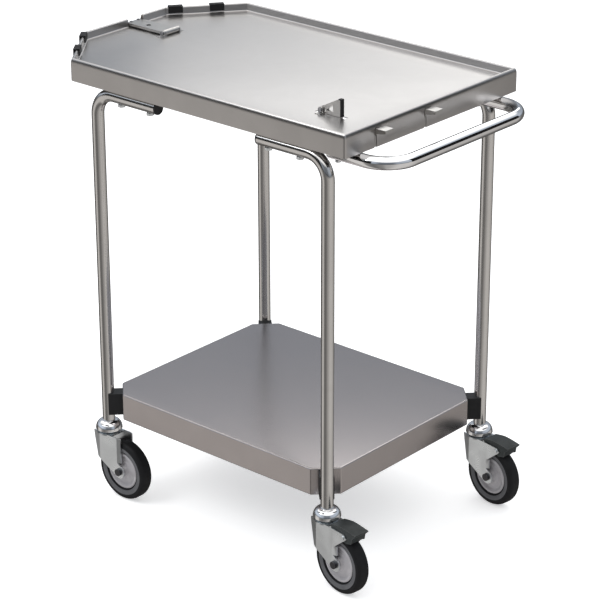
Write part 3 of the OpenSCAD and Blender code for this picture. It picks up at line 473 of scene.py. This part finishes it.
# The shelf's stainless is coloured darker than the tray's: painted shade from the tray above.
shelf_sheet = metal("shelf sheet", (0.485, 0.45, 0.445), 0.25, ALONG_X, marks=0.03, wander=0.05)
rail_sheet = metal("rail sheet", (0.45, 0.44, 0.43), 0.34, ALONG_X)
cross_sheet = metal("cross rail sheet", (0.45, 0.44, 0.43), 0.34, ALONG_Y)
leg_tube = metal("leg tube", (0.70, 0.69, 0.68), 0.16, ALONG_Z, bump=0.05)
polished = metal("polished chrome", (0.90, 0.90, 0.91), 0.05, ALONG_Y, bump=0.01, marks=0.03)
zinc = metal("zinc plate", (0.67, 0.70, 0.72), 0.27, (8, 8, 8), bump=0.04, marks=0.12, edge=0.9)
pin_steel = metal("pin steel", (0.30, 0.30, 0.31), 0.30, ALONG_Y, marks=0.08)
fitting_steel = metal("fitting steel", (0.50, 0.49, 0.475), 0.28, ALONG_X, edge=0.4)
# Axles are a near-black steel.
near_black = metal("blackened steel", (0.075, 0.075, 0.08), 0.36, (8, 8, 8), marks=0.12, edge=0.25)
print(len(bpy.data.materials), "materials")

# %% [markdown]
# The black parts aren't equally black. Buffers, spacers and plugs are nearly black; on the spacers,
# which sit in the gaps at the shelf's corners, that black is also painted shade. The tread is blacker
# still, the tyre's wall is a dark grey, and the pedals are charcoal with lighter edges, partly wear
# and partly a painted highlight. The hubs are a light grey nylon. A table then says which finish
# belongs to which material slot.

# %% Finishes of rubber and plastic
nylon = moulding("black nylon", (0.012, 0.012, 0.013), 0.42)
rubber = moulding("black rubber", (0.012, 0.012, 0.013), 0.62, skin=0.25, edge=0.15)
tread_rubber = moulding("tyre tread", (0.009, 0.009, 0.010), 0.60, skin=0.3, edge=0.1, gloss=0.18)
wall_rubber = moulding("tyre wall", (0.095, 0.095, 0.10), 0.50, skin=0.2, edge=0.1, gloss=0.25)
hub_nylon = moulding("hub nylon", (0.345, 0.33, 0.34), 0.36, skin=0.06, edge=0.3, gloss=0.45,
                     wear_and_highlight_colour=(0.62, 0.61, 0.62))
pedal_nylon = moulding("pedal nylon", (0.030, 0.034, 0.034), 0.46, edge=0.6, gloss=0.25)
SLOT_FINISH = {
    "stainless": fitting_steel, "chrome": polished, "zinc_steel": zinc, "pin_steel": pin_steel,
    "black_plastic": nylon, "black_rubber": rubber, "hub_grey": hub_nylon,
    "tyre_black": tread_rubber, "pedal_charcoal": pedal_nylon,
}
print(len(bpy.data.materials), "materials")

# %% [markdown]
# ## Helpers for surfaces
# A turned or bent part is a grid of points: one direction runs round its section, the other along
# its path or round its axis. Each face joins four neighbours in the grid. A Screw modifier or a
# curve with a bevel could make such shapes too. A grid is chosen because its wall, its ends and its
# softened corners are then all under control, and whole arrays are quick to work out.

# %% Faces of a grid
def surface(rings, loop=False, ends=True):
    """Points and faces of a grid of rings: every ring is closed, and with loop so is their row.
    Without loop, the first and last ring are closed by flat faces where ends is true."""
    rows, columns = rings.shape[:2]
    row = np.arange(rows if loop else rows - 1)[:, None]
    column = np.arange(columns)[None, :]
    next_row, next_column = (row + 1) % rows, (column + 1) % columns
    corners = [row * columns + column, row * columns + next_column,
               next_row * columns + next_column, next_row * columns + column]
    faces = np.stack(np.broadcast_arrays(*corners), 2).reshape(-1, 4).tolist()
    if ends and not loop:
        faces.append(list(range(columns)))
        faces.append(list(range((rows - 1) * columns, rows * columns)))
    return rings.reshape(-1, 3), faces


print("grids become faces")


# %% [markdown]
# The imported model has every piece already, so a finer one has to say which node it stands for, which
# body it moves with and which finish it wears. That could be written out for each piece. It is the same
# few lines every time, so two helpers do it: one merges surfaces into a mesh that faces outwards, and
# the other settles any mesh in its place.

# %% Put surfaces into one piece
SAME_POINT = 1e-6


def piece(name, parts, nodes, finish, sharp=34):
    """A piece made of surfaces that stands for CAD nodes: merged, facing outwards, on their body."""
    starts = np.cumsum([0] + [len(points) for points, faces in parts])
    points = np.concatenate([points for points, faces in parts])
    faces = [[start + i for i in face] for start, part in zip(starts, parts) for face in part[1]]
    mesh = bpy.data.meshes.new(name)
    mesh.from_pydata(points.tolist(), [], faces)
    work = bmesh.new()
    work.from_mesh(mesh)
    bmesh.ops.remove_doubles(work, verts=work.verts, dist=SAME_POINT)
    bmesh.ops.recalc_face_normals(work, faces=work.faces)
    work.to_mesh(mesh)
    work.free()
    made = bpy.data.objects.new(name, mesh)
    bpy.context.scene.collection.objects.link(made)
    return settle(made, nodes, finish, sharp)


def settle(made, nodes, finish, sharp=34):
    """Give a piece its finish, its smooth shading, its body and the nodes it replaces."""
    made.data.materials.clear()
    for material in finish if isinstance(finish, list) else [finish]:
        made.data.materials.append(material)
    made.data.shade_smooth()
    made.data.set_sharp_from_angle(angle=math.radians(sharp))
    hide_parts(*nodes)
    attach(made, node_body[nodes[0]])
    return made


print("surfaces become pieces")


# %% [markdown]
# Nothing that is pressed, turned or moulded has a knife edge. A Bevel could round the finished
# piece, but on a fine mesh it is slow and it doubles points. It is easier to round the flat outline
# before it is turned: each corner becomes a short curve that leaves and meets its edges smoothly.

# %% Soften the corners of an outline
def softened(outline, size, steps=4):
    """A closed outline whose corners V become curves from A to B, the points size before and after
    them, as (1-s)^2 A + 2 s (1-s) V + s^2 B. A corner takes at most 0.45 of its edges."""
    outline = np.asarray(outline, float)
    back, ahead = np.roll(outline, 1, 0) - outline, np.roll(outline, -1, 0) - outline
    reach_back = np.minimum(size / np.linalg.norm(back, axis=1), 0.45)[:, None]
    reach_ahead = np.minimum(size / np.linalg.norm(ahead, axis=1), 0.45)[:, None]
    first, last = outline + back * reach_back, outline + ahead * reach_ahead
    s = np.linspace(0, 1, steps)[None, :, None]
    curve = (1 - s) ** 2 * first[:, None] + 2 * s * (1 - s) * outline[:, None] + s ** 2 * last[:, None]
    return curve.reshape(-1, 2)


print("corners can be softened")


# %% [markdown]
# Hubs, tyres, caps and bearings are round, and the real ones are turned or moulded in round tools.
# Blender's Screw modifier does the same. The formula is short, though, and gives every ring at
# once, so an outline of radii and heights is turned here and then stood on its own axis.

# %% Turn an outline round an axis
def turned(outline, centre, axis=(0, 0, 1), steps=96):
    """A closed outline of (radius, height) points turned round an axis: at each angle a, the point
    is radius * (cos a, sin a) and height along the axis, then stood at the centre."""
    outline = np.asarray(outline, float)
    angle = np.linspace(0, 2 * np.pi, steps, endpoint=False)[:, None]
    radius, height = outline[None, :, 0], outline[None, :, 1]
    ring = np.stack(np.broadcast_arrays(radius * np.cos(angle), radius * np.sin(angle), height), 2)
    stand = np.array(Vector((0, 0, 1)).rotation_difference(Vector(axis)).to_matrix())
    return surface(ring @ stand.T + np.array(centre), loop=True)


print("outlines can be turned")

# %% [markdown]
# ## Folded sheet: the tray and the shelf
# The tray is one sheet: its skirt goes up, folds over into a narrow rim and drops to the sunk deck.
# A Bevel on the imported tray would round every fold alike, but the outer fold is long and easy and
# the inner one is tight. So the section is drawn, a line of insets and heights with a curve at each
# fold, and carried round the plan of the tray, whose corners are rounded as a weld leaves them.
# Solidify then gives the sheet its thickness, so the rim is really hollow.

# %% Outlines of a plate, moved in
def plate_rings(corners, insets, radii, steps=6):
    """Outlines of a convex plate, each moved in by its inset, with corners rounded by its radius:
    an arc's centre lies on the mitre, inset + radius inside the corner, and its angle runs from
    one edge's normal to the next's."""
    edge = np.roll(corners, -1, 0) - corners
    normal = np.stack([edge[:, 1], -edge[:, 0]], 1) / np.linalg.norm(edge, axis=1)[:, None]
    before = np.roll(normal, 1, 0)
    mitre = (before + normal) / (1 + (before * normal).sum(1))[:, None]
    centre = corners[None] - (insets + radii)[:, None, None] * mitre[None]
    start = np.arctan2(before[:, 1], before[:, 0])
    swing = (np.arctan2(normal[:, 1], normal[:, 0]) - start) % (2 * np.pi)
    angle = start[:, None] + swing[:, None] * np.linspace(0, 1, steps)[None]
    spoke = np.stack([np.cos(angle), np.sin(angle)], 2)
    return (centre[:, :, None] + radii[:, None, None, None] * spoke[None]).reshape(len(insets), -1, 2)


print("outlines can be moved in")


# %% [markdown]
# A folding press bends one flat sheet along straight lines, and the corners are welded and ground.
# Extruding the tray's outline edge by edge would need each fold to be placed by hand. The section is
# carried round the plan instead, so every side has the same folds, and they meet on the mitres as
# the real ones do. It starts as a surface with no thickness, and Solidify adds the sheet inwards.

# %% Carry a folded section round the plate
SHEET, LEAST_RADIUS = 0.0015, 0.0004


def folded_sheet(name, corners, section, corner_radius):
    """A sheet whose section, rows of inset and height, is carried round the plate's outline, its
    last ring closed by a flat face. Corners tighten as the section moves in, to almost nothing."""
    insets, heights = section.T
    outlines = plate_rings(corners, insets, np.maximum(corner_radius - insets, LEAST_RADIUS))
    count = outlines.shape[1]
    stacked = np.broadcast_to(heights[:, None, None], (len(section), count, 1))
    points, faces = surface(np.concatenate([outlines, stacked], 2), ends=False)
    faces.append(list(range(len(points) - count, len(points))))
    mesh = bpy.data.meshes.new(name)
    mesh.from_pydata(points.tolist(), [], faces)
    if mesh.polygons[-1].normal.z < 0:
        mesh.flip_normals()
    made = bpy.data.objects.new(name, mesh)
    bpy.context.scene.collection.objects.link(made)
    wall = made.modifiers.new("sheet", "SOLIDIFY")
    wall.thickness = SHEET
    wall.offset = -1
    return applied(made)


def fold(centre, reach, start, end, steps=9):
    """Points of a fold: centre + (reach across * cos a, reach up * sin a), a between two angles."""
    angle = np.radians(np.linspace(start, end, steps))
    return np.column_stack([centre[0] + reach[0] * np.cos(angle), centre[1] + reach[1] * np.sin(angle)])


print("sections can be folded and carried")


# %% [markdown]
# The slots are punched before the real sheet is folded. Leaving them out of the grid would break its
# rows, so they are cut out of the finished sheet by a Boolean with plain boxes. The modifiers are
# applied straight away, because the shading by angle needs the final faces.

# %% Apply modifiers, and cut slots
def applied(made):
    """Replace an object's mesh by what its modifiers make of it."""
    graph = bpy.context.evaluated_depsgraph_get()
    mesh = bpy.data.meshes.new_from_object(made.evaluated_get(graph))
    made.modifiers.clear()
    made.data = mesh
    return made


def cut_boxes(made, boxes):
    """Cut boxes, each a lowest and a highest corner, out of a closed piece."""
    unit = np.array([(x, y, z) for x in (0, 1) for y in (0, 1) for z in (0, 1)], float)
    sides = [(0, 1, 3, 2), (4, 6, 7, 5), (0, 4, 5, 1), (2, 3, 7, 6), (0, 2, 6, 4), (1, 5, 7, 3)]
    mesh = bpy.data.meshes.new("cutter")
    points = [np.array(low) + unit * (np.array(high) - np.array(low)) for low, high in boxes]
    faces = [[8 * i + corner for corner in side] for i in range(len(boxes)) for side in sides]
    mesh.from_pydata(np.concatenate(points).tolist(), [], faces)
    cutter = bpy.data.objects.new("cutter", mesh)
    bpy.context.scene.collection.objects.link(cutter)
    cut = made.modifiers.new("slots", "BOOLEAN")
    cut.operation = "DIFFERENCE"
    cut.solver = "EXACT"
    cut.object = cutter
    applied(made)
    bpy.data.objects.remove(cutter)
    return made


print("modifiers can be applied, slots cut")

# %% [markdown]
# The tray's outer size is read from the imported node, so the two can't drift apart. Only what a box
# can't tell is written down: the rim's width and height, how much of its two corners is cut off at
# the docking end, and how far each fold reaches. The outer fold is taller than it is wide.

# %% Sizes of the tray
RIM_WIDTH, RIM_HEIGHT = 0.008, 0.016
CUT_LENGTH, CUT_WIDTH = 0.107, 0.137
FOLD_ACROSS, FOLD_DOWN, INNER_FOLD, DECK_FOLD = 0.0045, 0.0105, 0.0024, 0.003
FIRST_CORNER, SHARP_FOLDS = 0.004, 20
tray_low, tray_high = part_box("top_tray")
deck = tray_high.z - RIM_HEIGHT
tray_corners = np.array([
    (tray_high.x, tray_low.y), (tray_high.x, tray_high.y),
    (tray_low.x + CUT_LENGTH, tray_high.y), (tray_low.x, tray_high.y - CUT_WIDTH),
    (tray_low.x, tray_low.y + CUT_WIDTH), (tray_low.x + CUT_LENGTH, tray_low.y)])
tray_section = np.concatenate([
    [(0, tray_low.z)],
    fold((FOLD_ACROSS, tray_high.z - FOLD_DOWN), (FOLD_ACROSS, FOLD_DOWN), 180, 90, 15),
    fold((RIM_WIDTH - INNER_FOLD, tray_high.z - INNER_FOLD), (INNER_FOLD, INNER_FOLD), 90, 0),
    fold((RIM_WIDTH + DECK_FOLD, deck + DECK_FOLD), (DECK_FOLD, DECK_FOLD), 180, 270)])
print("tray", [round(v * 1000) for v in tray_high - tray_low], "mm, deck at", round(deck * 1000))

# %% [markdown]
# The sheet has five openings: a slot that the catch sinks through, one for the hook's arm, a notch in
# the rim for the hook, and two slots for the release levers. A slot is as long as its part sweeps,
# which is the crank's length times the sine of its turn, plus a gap all round. The two turns, 38
# and 16 degrees, are written in radians. A Boolean cuts all five at once.

# %% Sizes of its slots
catch_pivot, hook_pivot = (np.array(joints[name]["pos_m"]) for name in ("catch_drop", "hook_lift"))
lever_pivots = [np.array(joints[name]["pos_m"]) for name in ("catch_lever_press", "hook_lever_press")]
SLOT_GAP, PAST, PAST_RIM, NOTCH_GAP, NOTCH_DEPTH = 0.001, 0.001, 0.0005, 0.0015, 0.010
CATCH_HALF, CATCH_SLOT, CRANK, CRANK_HALF = 0.004, 0.0557, 0.016, 0.0045
HOOK_HALF, HOOK_ARM, HOOK_ARM_IN, LEVER_HALF, LEVER_UP = 0.020, 0.005, 0.001, 0.002, 0.017
CATCH_TURN, HOOK_TURN = 0.663, 0.279
under, over = deck - 0.004, deck + 0.002
catch_back = catch_pivot[0] - CRANK_HALF - CRANK * math.sin(CATCH_TURN)
hook_back = hook_pivot[0] - CRANK_HALF - CRANK * math.sin(HOOK_TURN)
arm_y = hook_pivot[1] - HOOK_HALF + HOOK_ARM_IN
slots = [
    ((catch_back, catch_pivot[1] - CATCH_HALF - SLOT_GAP, under),
     (catch_pivot[0] + CATCH_SLOT, catch_pivot[1] + CATCH_HALF + SLOT_GAP, over)),
    ((hook_back, arm_y - SLOT_GAP, under),
     (hook_pivot[0] + CRANK_HALF + SLOT_GAP, arm_y + HOOK_ARM + SLOT_GAP, over)),
    ((tray_low.x - PAST, hook_pivot[1] - HOOK_HALF - NOTCH_GAP, deck - NOTCH_DEPTH),
     (tray_low.x + RIM_WIDTH + PAST_RIM, hook_pivot[1] + HOOK_HALF + NOTCH_GAP, tray_high.z + PAST)),
]
slots += [((tray_high.x - SHEET - PAST, y - LEVER_HALF - SLOT_GAP, tray_low.z - PAST),
           (tray_high.x + PAST, y + LEVER_HALF + SLOT_GAP, z + LEVER_UP)) for x, y, z in lever_pivots]
print(len(slots), "slots")

# %% [markdown]
# With its plan, section and slots known, the tray is three steps: carry, cut and settle. A small
# angle for sharp edges keeps the long flat deck from being shaded as if it were bent.

# %% Make the tray
tray = folded_sheet("top_tray_sheet", tray_corners, tray_section, FIRST_CORNER)
cut_boxes(tray, slots)
settle(tray, ["top_tray"], tray_sheet, SHARP_FOLDS)
print("tray sheet:", len(tray.data.polygons), "faces")

# %% [markdown]
# The shelf is the same kind of sheet with its folds down and a lip turned in under the skirt. Its
# four corners are cut back for the legs, which makes eight corners in plan.

# %% Make the shelf
SHELF_CUT, SHELF_FOLD, SHELF_LIP = 0.041, 0.003, 0.012
low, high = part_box("shelf")
ring_x = [low.x + SHELF_CUT, high.x - SHELF_CUT, high.x, high.x, high.x - SHELF_CUT,
          low.x + SHELF_CUT, low.x, low.x]
ring_y = [low.y, low.y, low.y + SHELF_CUT, high.y - SHELF_CUT, high.y, high.y,
          high.y - SHELF_CUT, low.y + SHELF_CUT]
shelf_section = np.concatenate([
    [(SHELF_LIP, low.z)],
    fold((SHELF_FOLD, low.z + SHELF_FOLD), (SHELF_FOLD, SHELF_FOLD), 270, 180),
    fold((SHELF_FOLD, high.z - SHELF_FOLD), (SHELF_FOLD, SHELF_FOLD), 180, 90)])
shelf = folded_sheet("shelf_sheet", np.column_stack([ring_x, ring_y]), shelf_section, FIRST_CORNER)
settle(shelf, ["shelf"], shelf_sheet, SHARP_FOLDS)
print("shelf sheet:", len(shelf.data.polygons), "faces")

# %% [markdown]
# ## Bent tubes: the legs and the push handle
# Each leg is a drawn tube with one bend, and the handle is a tube with two. A curve with a round
# bevel would look alike from outside, but it has no wall. Here a circle is carried along a path of
# straight runs and round bends. All the paths lie in a plane, so the circle never has to twist. It
# goes out along the outside of the wall and back along the inside: a real hollow tube, open at its
# ends.

# %% A path with round bends
def bent_path(corners, bend, steps=14):
    """Points of a path through corners, with an arc of radius bend at each inner corner. At a
    right-angled corner V between runs a and b, the arc is V - bend a (1 - sin t) + bend b (1 - cos t)."""
    corners = np.asarray(corners, float)
    t = np.linspace(0, np.pi / 2, steps)[:, None]
    path = [corners[:1]]
    for before, corner, after in zip(corners, corners[1:], corners[2:]):
        a = (corner - before) / np.linalg.norm(corner - before)
        b = (after - corner) / np.linalg.norm(after - corner)
        path.append(corner - bend * a * (1 - np.sin(t)) + bend * b * (1 - np.cos(t)))
    return np.concatenate(path + [corners[-1:]])


print("paths can bend")


# %% Carry a tube along it
def tube(path, radius, wall, normal, steps=48):
    """A hollow tube: circles of the outer radius along the path, then of the inner radius back.
    A point of a circle is path + r (cos a N + sin a M), M being the tangent crossed with N."""
    tangent = np.gradient(path, axis=0)
    tangent /= np.linalg.norm(tangent, axis=1)[:, None]
    side = np.cross(tangent, normal)
    angle = np.linspace(0, 2 * np.pi, steps, endpoint=False)[None, :, None]
    around = np.cos(angle) * np.asarray(normal, float)[None, None] + np.sin(angle) * side[:, None]
    out = path[:, None] + radius * around
    back = path[::-1, None] + (radius - wall) * around[::-1]
    return surface(np.concatenate([out, back]), loop=True)


print("tubes can be carried along paths")

# %% [markdown]
# A leg is a bent tube: its foot takes the caster's stem, and its short upper run lies along the side
# rail, where two bolts hold it. The foot's middle line, the level of the upper run and the tube's
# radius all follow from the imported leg's box. The wall and the bend are those of 25 mm furniture tube.

# %% Make the four legs
TUBE_WALL, LEG_BEND = 0.0015, 0.045
for name in ("leg_front_left", "leg_front_right", "leg_back_left", "leg_back_right"):
    low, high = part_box(name)
    radius = (high.y - low.y) / 2
    mid_y = (high.y + low.y) / 2
    foot_x, end_x = (high.x - radius, low.x) if name.endswith("right") else (low.x + radius, high.x)
    top = high.z - radius
    corners = [(foot_x, mid_y, low.z), (foot_x, mid_y, top), (end_x, mid_y, top)]
    piece(name + "_tube", [tube(bent_path(corners, LEG_BEND), radius, TUBE_WALL, (0, 1, 0))],
          [name], leg_tube)
print("leg tube", round(radius * 2000, 1), "mm, bend", LEG_BEND * 1000)

# %% [markdown]
# The push handle is a tube of the same size with two wider bends, polished and chromed. Its arms run
# in under the tray, so only the bow shows. It is made as the legs are, but lies flat, so its circle
# starts upright.

# %% Make the push handle
HANDLE_BEND = 0.060
low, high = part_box("handle")
radius = (high.z - low.z) / 2
level, grip = (high.z + low.z) / 2, high.x - radius
front, back = low.y + radius, high.y - radius
corners = [(low.x, front, level), (grip, front, level), (grip, back, level), (low.x, back, level)]
piece("handle_tube", [tube(bent_path(corners, HANDLE_BEND, 20), radius, TUBE_WALL, (0, 0, 1))],
      ["handle"], polished)
print("grip", round((back - front) * 1000), "mm between its arms")

# %% [markdown]
# ## Turned parts: caps and bearings
# A chromed dome hides the top of each caster, and the swivel bearing sits under it. Both are turned
# shapes: an outline of radii and heights goes round an upright axis. The dome is drawn as an arc, and
# the bearing's outline has its corners softened first, because a sharp edge never shines, while a real
# one always catches some light.

# %% Caps
CORNERS = ("front_left", "front_right", "back_left", "back_right")
swivels = {corner: np.array(joints["swivel_" + corner]["pos_m"]) for corner in CORNERS}
low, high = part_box("caster_caps")
CAP_RADIUS, CAP_SHELL, KING_HOLE, CAP_FLAT = 0.0269, 0.002, 0.0052, 0.0135
cap_rise = high.z - low.z
arc = np.radians(np.linspace(0, 90, 13))
outside = np.column_stack([CAP_FLAT + (CAP_RADIUS - CAP_FLAT) * np.cos(arc), cap_rise * np.sin(arc)])
inside = np.column_stack([CAP_FLAT + (CAP_RADIUS - CAP_SHELL - CAP_FLAT) * np.cos(arc),
                          (cap_rise - CAP_SHELL) * np.sin(arc)])[::-1]
rim = [(KING_HOLE, cap_rise), (KING_HOLE, cap_rise - CAP_SHELL)]
cap_outline = np.concatenate([outside, rim, inside])
piece("caster_cap_shells", [turned(cap_outline, (*swivels[c][:2], low.z)) for c in CORNERS],
      ["caster_caps"], polished)
print("caps rise", round(cap_rise * 1000), "mm")

# %% [markdown]
# Under each cap are the two pressed rings of the swivel bearing, a wide one over a narrow one, with
# the waist between them where the balls run. They are seen as a dark line with two bright edges,
# which one outline with a waist gives.

# %% Swivel bearings
low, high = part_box("swivel_bearings")
LOW, MID, TOP = 0, (high.z - low.z) / 2, high.z - low.z
bearing = [(KING_HOLE, LOW), (0.019, LOW), (0.021, LOW + 0.002), (0.021, MID - 0.002), (0.016, MID),
           (0.016, TOP - 0.003), (0.013, TOP), (KING_HOLE, TOP)]
bearing_outline = softened(bearing, 0.0006)
piece("swivel_bearing_rings", [turned(bearing_outline, (*swivels[c][:2], low.z), steps=72)
                               for c in CORNERS], ["swivel_bearings"], zinc)
print("bearings", round(TOP * 1000), "mm high")

# %% [markdown]
# ## Wheels
# A wheel is a grey nylon hub with a black rubber tyre on it. The hub has a boss at the axle, a
# thin web and a bead at its edge. The tyre goes up its own bead, over a raised ring on its wall and
# round the tread. They could be one outline with two colours, but they are two parts on the real
# wheel, with a dark groove between them, so they are two here.

# %% Outlines of hub and tyre
low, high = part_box("tyre_front_left")
EASE = 0.0001
WHEEL, HALF = (high.z - low.z) / 2 - EASE, (high.y - low.y) / 2 - EASE
HUB, SLEEVE, SHOULDER = 0.039, 0.00605, 0.008
hub_side = [(SLEEVE, HALF + 0.001), (0.011, HALF + 0.001), (0.0135, HALF - 0.004),
            (0.0145, HALF - 0.006), (0.0205, HALF - 0.0065), (0.0215, HALF - 0.0075),
            (0.0295, HALF - 0.0075), (0.034, HALF - 0.003), (0.0365, HALF - 0.003),
            (HUB, HALF - 0.0045)]
hub_outline = softened(hub_side + [(r, -h) for r, h in hub_side[::-1]], 0.0007, 3)
shoulder = fold((WHEEL - SHOULDER, HALF - SHOULDER), (SHOULDER, SHOULDER), 90, 0, 7).tolist()
tyre_side = [(HUB + 0.00005, HALF - 0.0035), (HUB + 0.0022, HALF - 0.0035),
             (HUB + 0.0036, HALF - 0.0012), (HUB + 0.0075, HALF - 0.0006), (HUB + 0.0085, HALF),
             (HUB + 0.0125, HALF)] + shoulder[1:]
tyre_outline = softened(tyre_side + [(r, -h) for r, h in tyre_side[::-1]], 0.0006, 3)
BEAD_REACH, WALL_REACH = HUB + 0.0034, HUB + 0.0125
print("wheel", round(WHEEL * 2000), "mm, hub", round(HUB * 2000))

# %% [markdown]
# The tyre's tread is blacker than its wall, which is a dark grey. A mask by height would go wrong as
# soon as the wheel rolls. How far a face lies from the axle never changes, so the faces between two
# radii get the second material, on all four wheels alike.

# %% Make the wheels
for corner in CORNERS:
    axle = joints["roll_" + corner]
    centre, axis = axle["pos_m"], axle["axis"]
    piece("hub_" + corner + "_moulding", [turned(hub_outline, centre, axis)],
          ["hub_" + corner], hub_nylon)
    tyre = piece("tyre_" + corner + "_rubber", [turned(tyre_outline, centre, axis, 128)],
                 ["tyre_" + corner], [tread_rubber, wall_rubber])
    centres = np.empty(3 * len(tyre.data.polygons))
    tyre.data.polygons.foreach_get("center", centres)
    away = centres.reshape(-1, 3) - np.array(centre)
    along = away @ np.array(axis)
    radius = np.linalg.norm(away - along[:, None] * np.array(axis), axis=1)
    on_wall = (radius > BEAD_REACH) & (radius < WALL_REACH)
    tyre.data.polygons.foreach_set("material_index", on_wall.astype(np.int32))
print("four wheels")

# %% [markdown]
# ## Pressed, folded and moulded parts
# Levers, ears, bolts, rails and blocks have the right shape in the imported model, but every edge
# there is a knife edge. They could be modelled again, but that would only repeat their sizes. So a
# merged copy gets its flat areas joined, and then a small Bevel rounds the edges, with its normals
# kept to the flat faces so that they stay flat in the light.

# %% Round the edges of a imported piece
FLAT_WITHIN, BEVEL_STEPS = 0.6, 2


def eased(name, finish=None, edge=0.0004, sharp=34):
    """A copy of a CAD node with its flat areas joined and its edges rounded by a Bevel."""
    mesh = frame["nodes"][name].data.copy()
    work = bmesh.new()
    work.from_mesh(mesh)
    bmesh.ops.remove_doubles(work, verts=work.verts, dist=SAME_POINT)
    flat = math.radians(FLAT_WITHIN)
    bmesh.ops.dissolve_limit(work, angle_limit=flat, verts=work.verts, edges=work.edges)
    work.to_mesh(mesh)
    work.free()
    made = bpy.data.objects.new(name + "_eased", mesh)
    bpy.context.scene.collection.objects.link(made)
    settle(made, [name], finish or SLOT_FINISH[node_slot[name]], sharp)
    rounding = made.modifiers.new("edges", "BEVEL")
    rounding.width = edge
    rounding.segments = BEVEL_STEPS
    rounding.limit_method = "ANGLE"
    rounding.angle_limit = math.radians(sharp)
    rounding.harden_normals = True
    return made


print("packed pieces can be eased")

# %% [markdown]
# The rails and the stiffener are folded channels, the bolts and nuts are zinc plated, the spacers and
# plugs are nylon, and the ears, levers, rods and pins belong to the catch and the hook. They could
# be eased one by one. A table says which finish and how wide an edge each one gets, and those with
# nothing special take the finish of their slot.

# %% Frame, fittings and fasteners
FITTINGS = {
    "side_rail_front": (rail_sheet, 0.0006), "side_rail_back": (rail_sheet, 0.0006),
    "cross_rail_dock": (cross_sheet, 0.0006), "cross_rail_handle": (cross_sheet, 0.0006),
    "shelf_stiffener": (cross_sheet, 0.0006), "leg_plugs": (nylon, 0.0008),
    # The spacers' black is their nylon, and it also paints the shade in the gaps beside the legs.
    "shelf_spacers": (nylon, 0.0012), "dock_buffers": (rubber, 0.0009),
    "stub_bolts": (zinc, 0.0006), "shelf_bolts": (zinc, 0.0005), "handle_screws": (zinc, 0.0005),
    "handle_blocks": (fitting_steel, 0.0006), "catch_pad": (rubber, 0.0005),
    "lever_brackets": (fitting_steel, 0.0003), "hook_nose": (pin_steel, 0.0004),
}
for name, (finish, edge) in FITTINGS.items():
    eased(name, finish, edge)
RELEASE_PARTS = ("catch_bracket", "hook_bracket", "catch_pin", "hook_pin", "lever_pins", "rack_catch",
                 "dock_hook", "catch_rod", "hook_rod", "catch_lever", "hook_lever")
for name in RELEASE_PARTS:
    eased(name)
print(len(FITTINGS) + len(RELEASE_PARTS), "fittings eased")

# %% [markdown]
# ### Caster parts
# Forks are pressed from plate and zinc plated, and their bent edges are lighter: partly worn bright,
# partly a painted highlight. The pedals are moulded, with much rounder edges than the metal has. They
# could be modelled afresh as soft shapes, but the imported ones have their outline already, so a
# wider Bevel is all that they take.

# %% Forks, axles and brakes
for corner in CORNERS:
    eased("fork_" + corner, zinc, 0.0006, 28)
    eased("axle_" + corner, near_black, 0.0005)
for side in ("front", "back"):
    eased("brake_pin_" + side)
    eased("brake_shoe_" + side, rubber, 0.0006)
    eased("brake_pedal_" + side, pedal_nylon, 0.0014)
print("casters dressed")

# %% [markdown]
# ## Return springs
# Each release lever has a small coil spring on its pin. A Screw modifier could wind one, but a
# helix is a plain formula: the wire's small circle is carried along it, one axis of the circle
# pointing away from the spring's axis and the other along it.

# %% Wind the two lever springs
WIRE, TURNS, PER_TURN = 0.0006, 5, 24
low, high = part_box("lever_springs")
pivot_y = [pivot[1] for pivot in lever_pivots]
run = (high.y - low.y) - (max(pivot_y) - min(pivot_y)) - 2 * WIRE
SPRING_RADIUS = min((high.x - low.x) / 2, (high.z - low.z) / 2) - WIRE
coils = []
for pivot in lever_pivots:
    from_y = pivot[1] - min(pivot_y) + low.y + WIRE
    turn = np.linspace(0, 2 * np.pi * TURNS, TURNS * PER_TURN + 1)[:, None]
    outward = np.column_stack([np.cos(turn), 0 * turn, np.sin(turn)])
    path = np.array([pivot[0], 0, pivot[2]]) + SPRING_RADIUS * outward
    path[:, 1] = from_y + run * turn[:, 0] / turn[-1, 0]
    angle = np.linspace(0, 2 * np.pi, 10, endpoint=False)[None, :, None]
    across = np.cos(angle) * outward[:, None] + np.sin(angle) * np.array([0, 1, 0])
    coils.append(surface(path[:, None] + WIRE * across))
piece("lever_spring_coils", coils, ["lever_springs"], zinc)
print(TURNS, "turns a spring,", round(run * 1000, 1), "mm long, radius", round(SPRING_RADIUS * 1000, 1))

# %% [markdown]
# ## What stays as it was packed
# Kingpins and the sleeves that grip them are hidden inside the casters and legs. They keep their
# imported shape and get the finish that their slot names.

# %% Finish the hidden pieces
for name in ("kingpins", "stem_expanders"):
    materials = frame["nodes"][name].data.materials
    materials.clear()
    materials.append(SLOT_FINISH[node_slot[name]])
print("kingpins and sleeves finished")
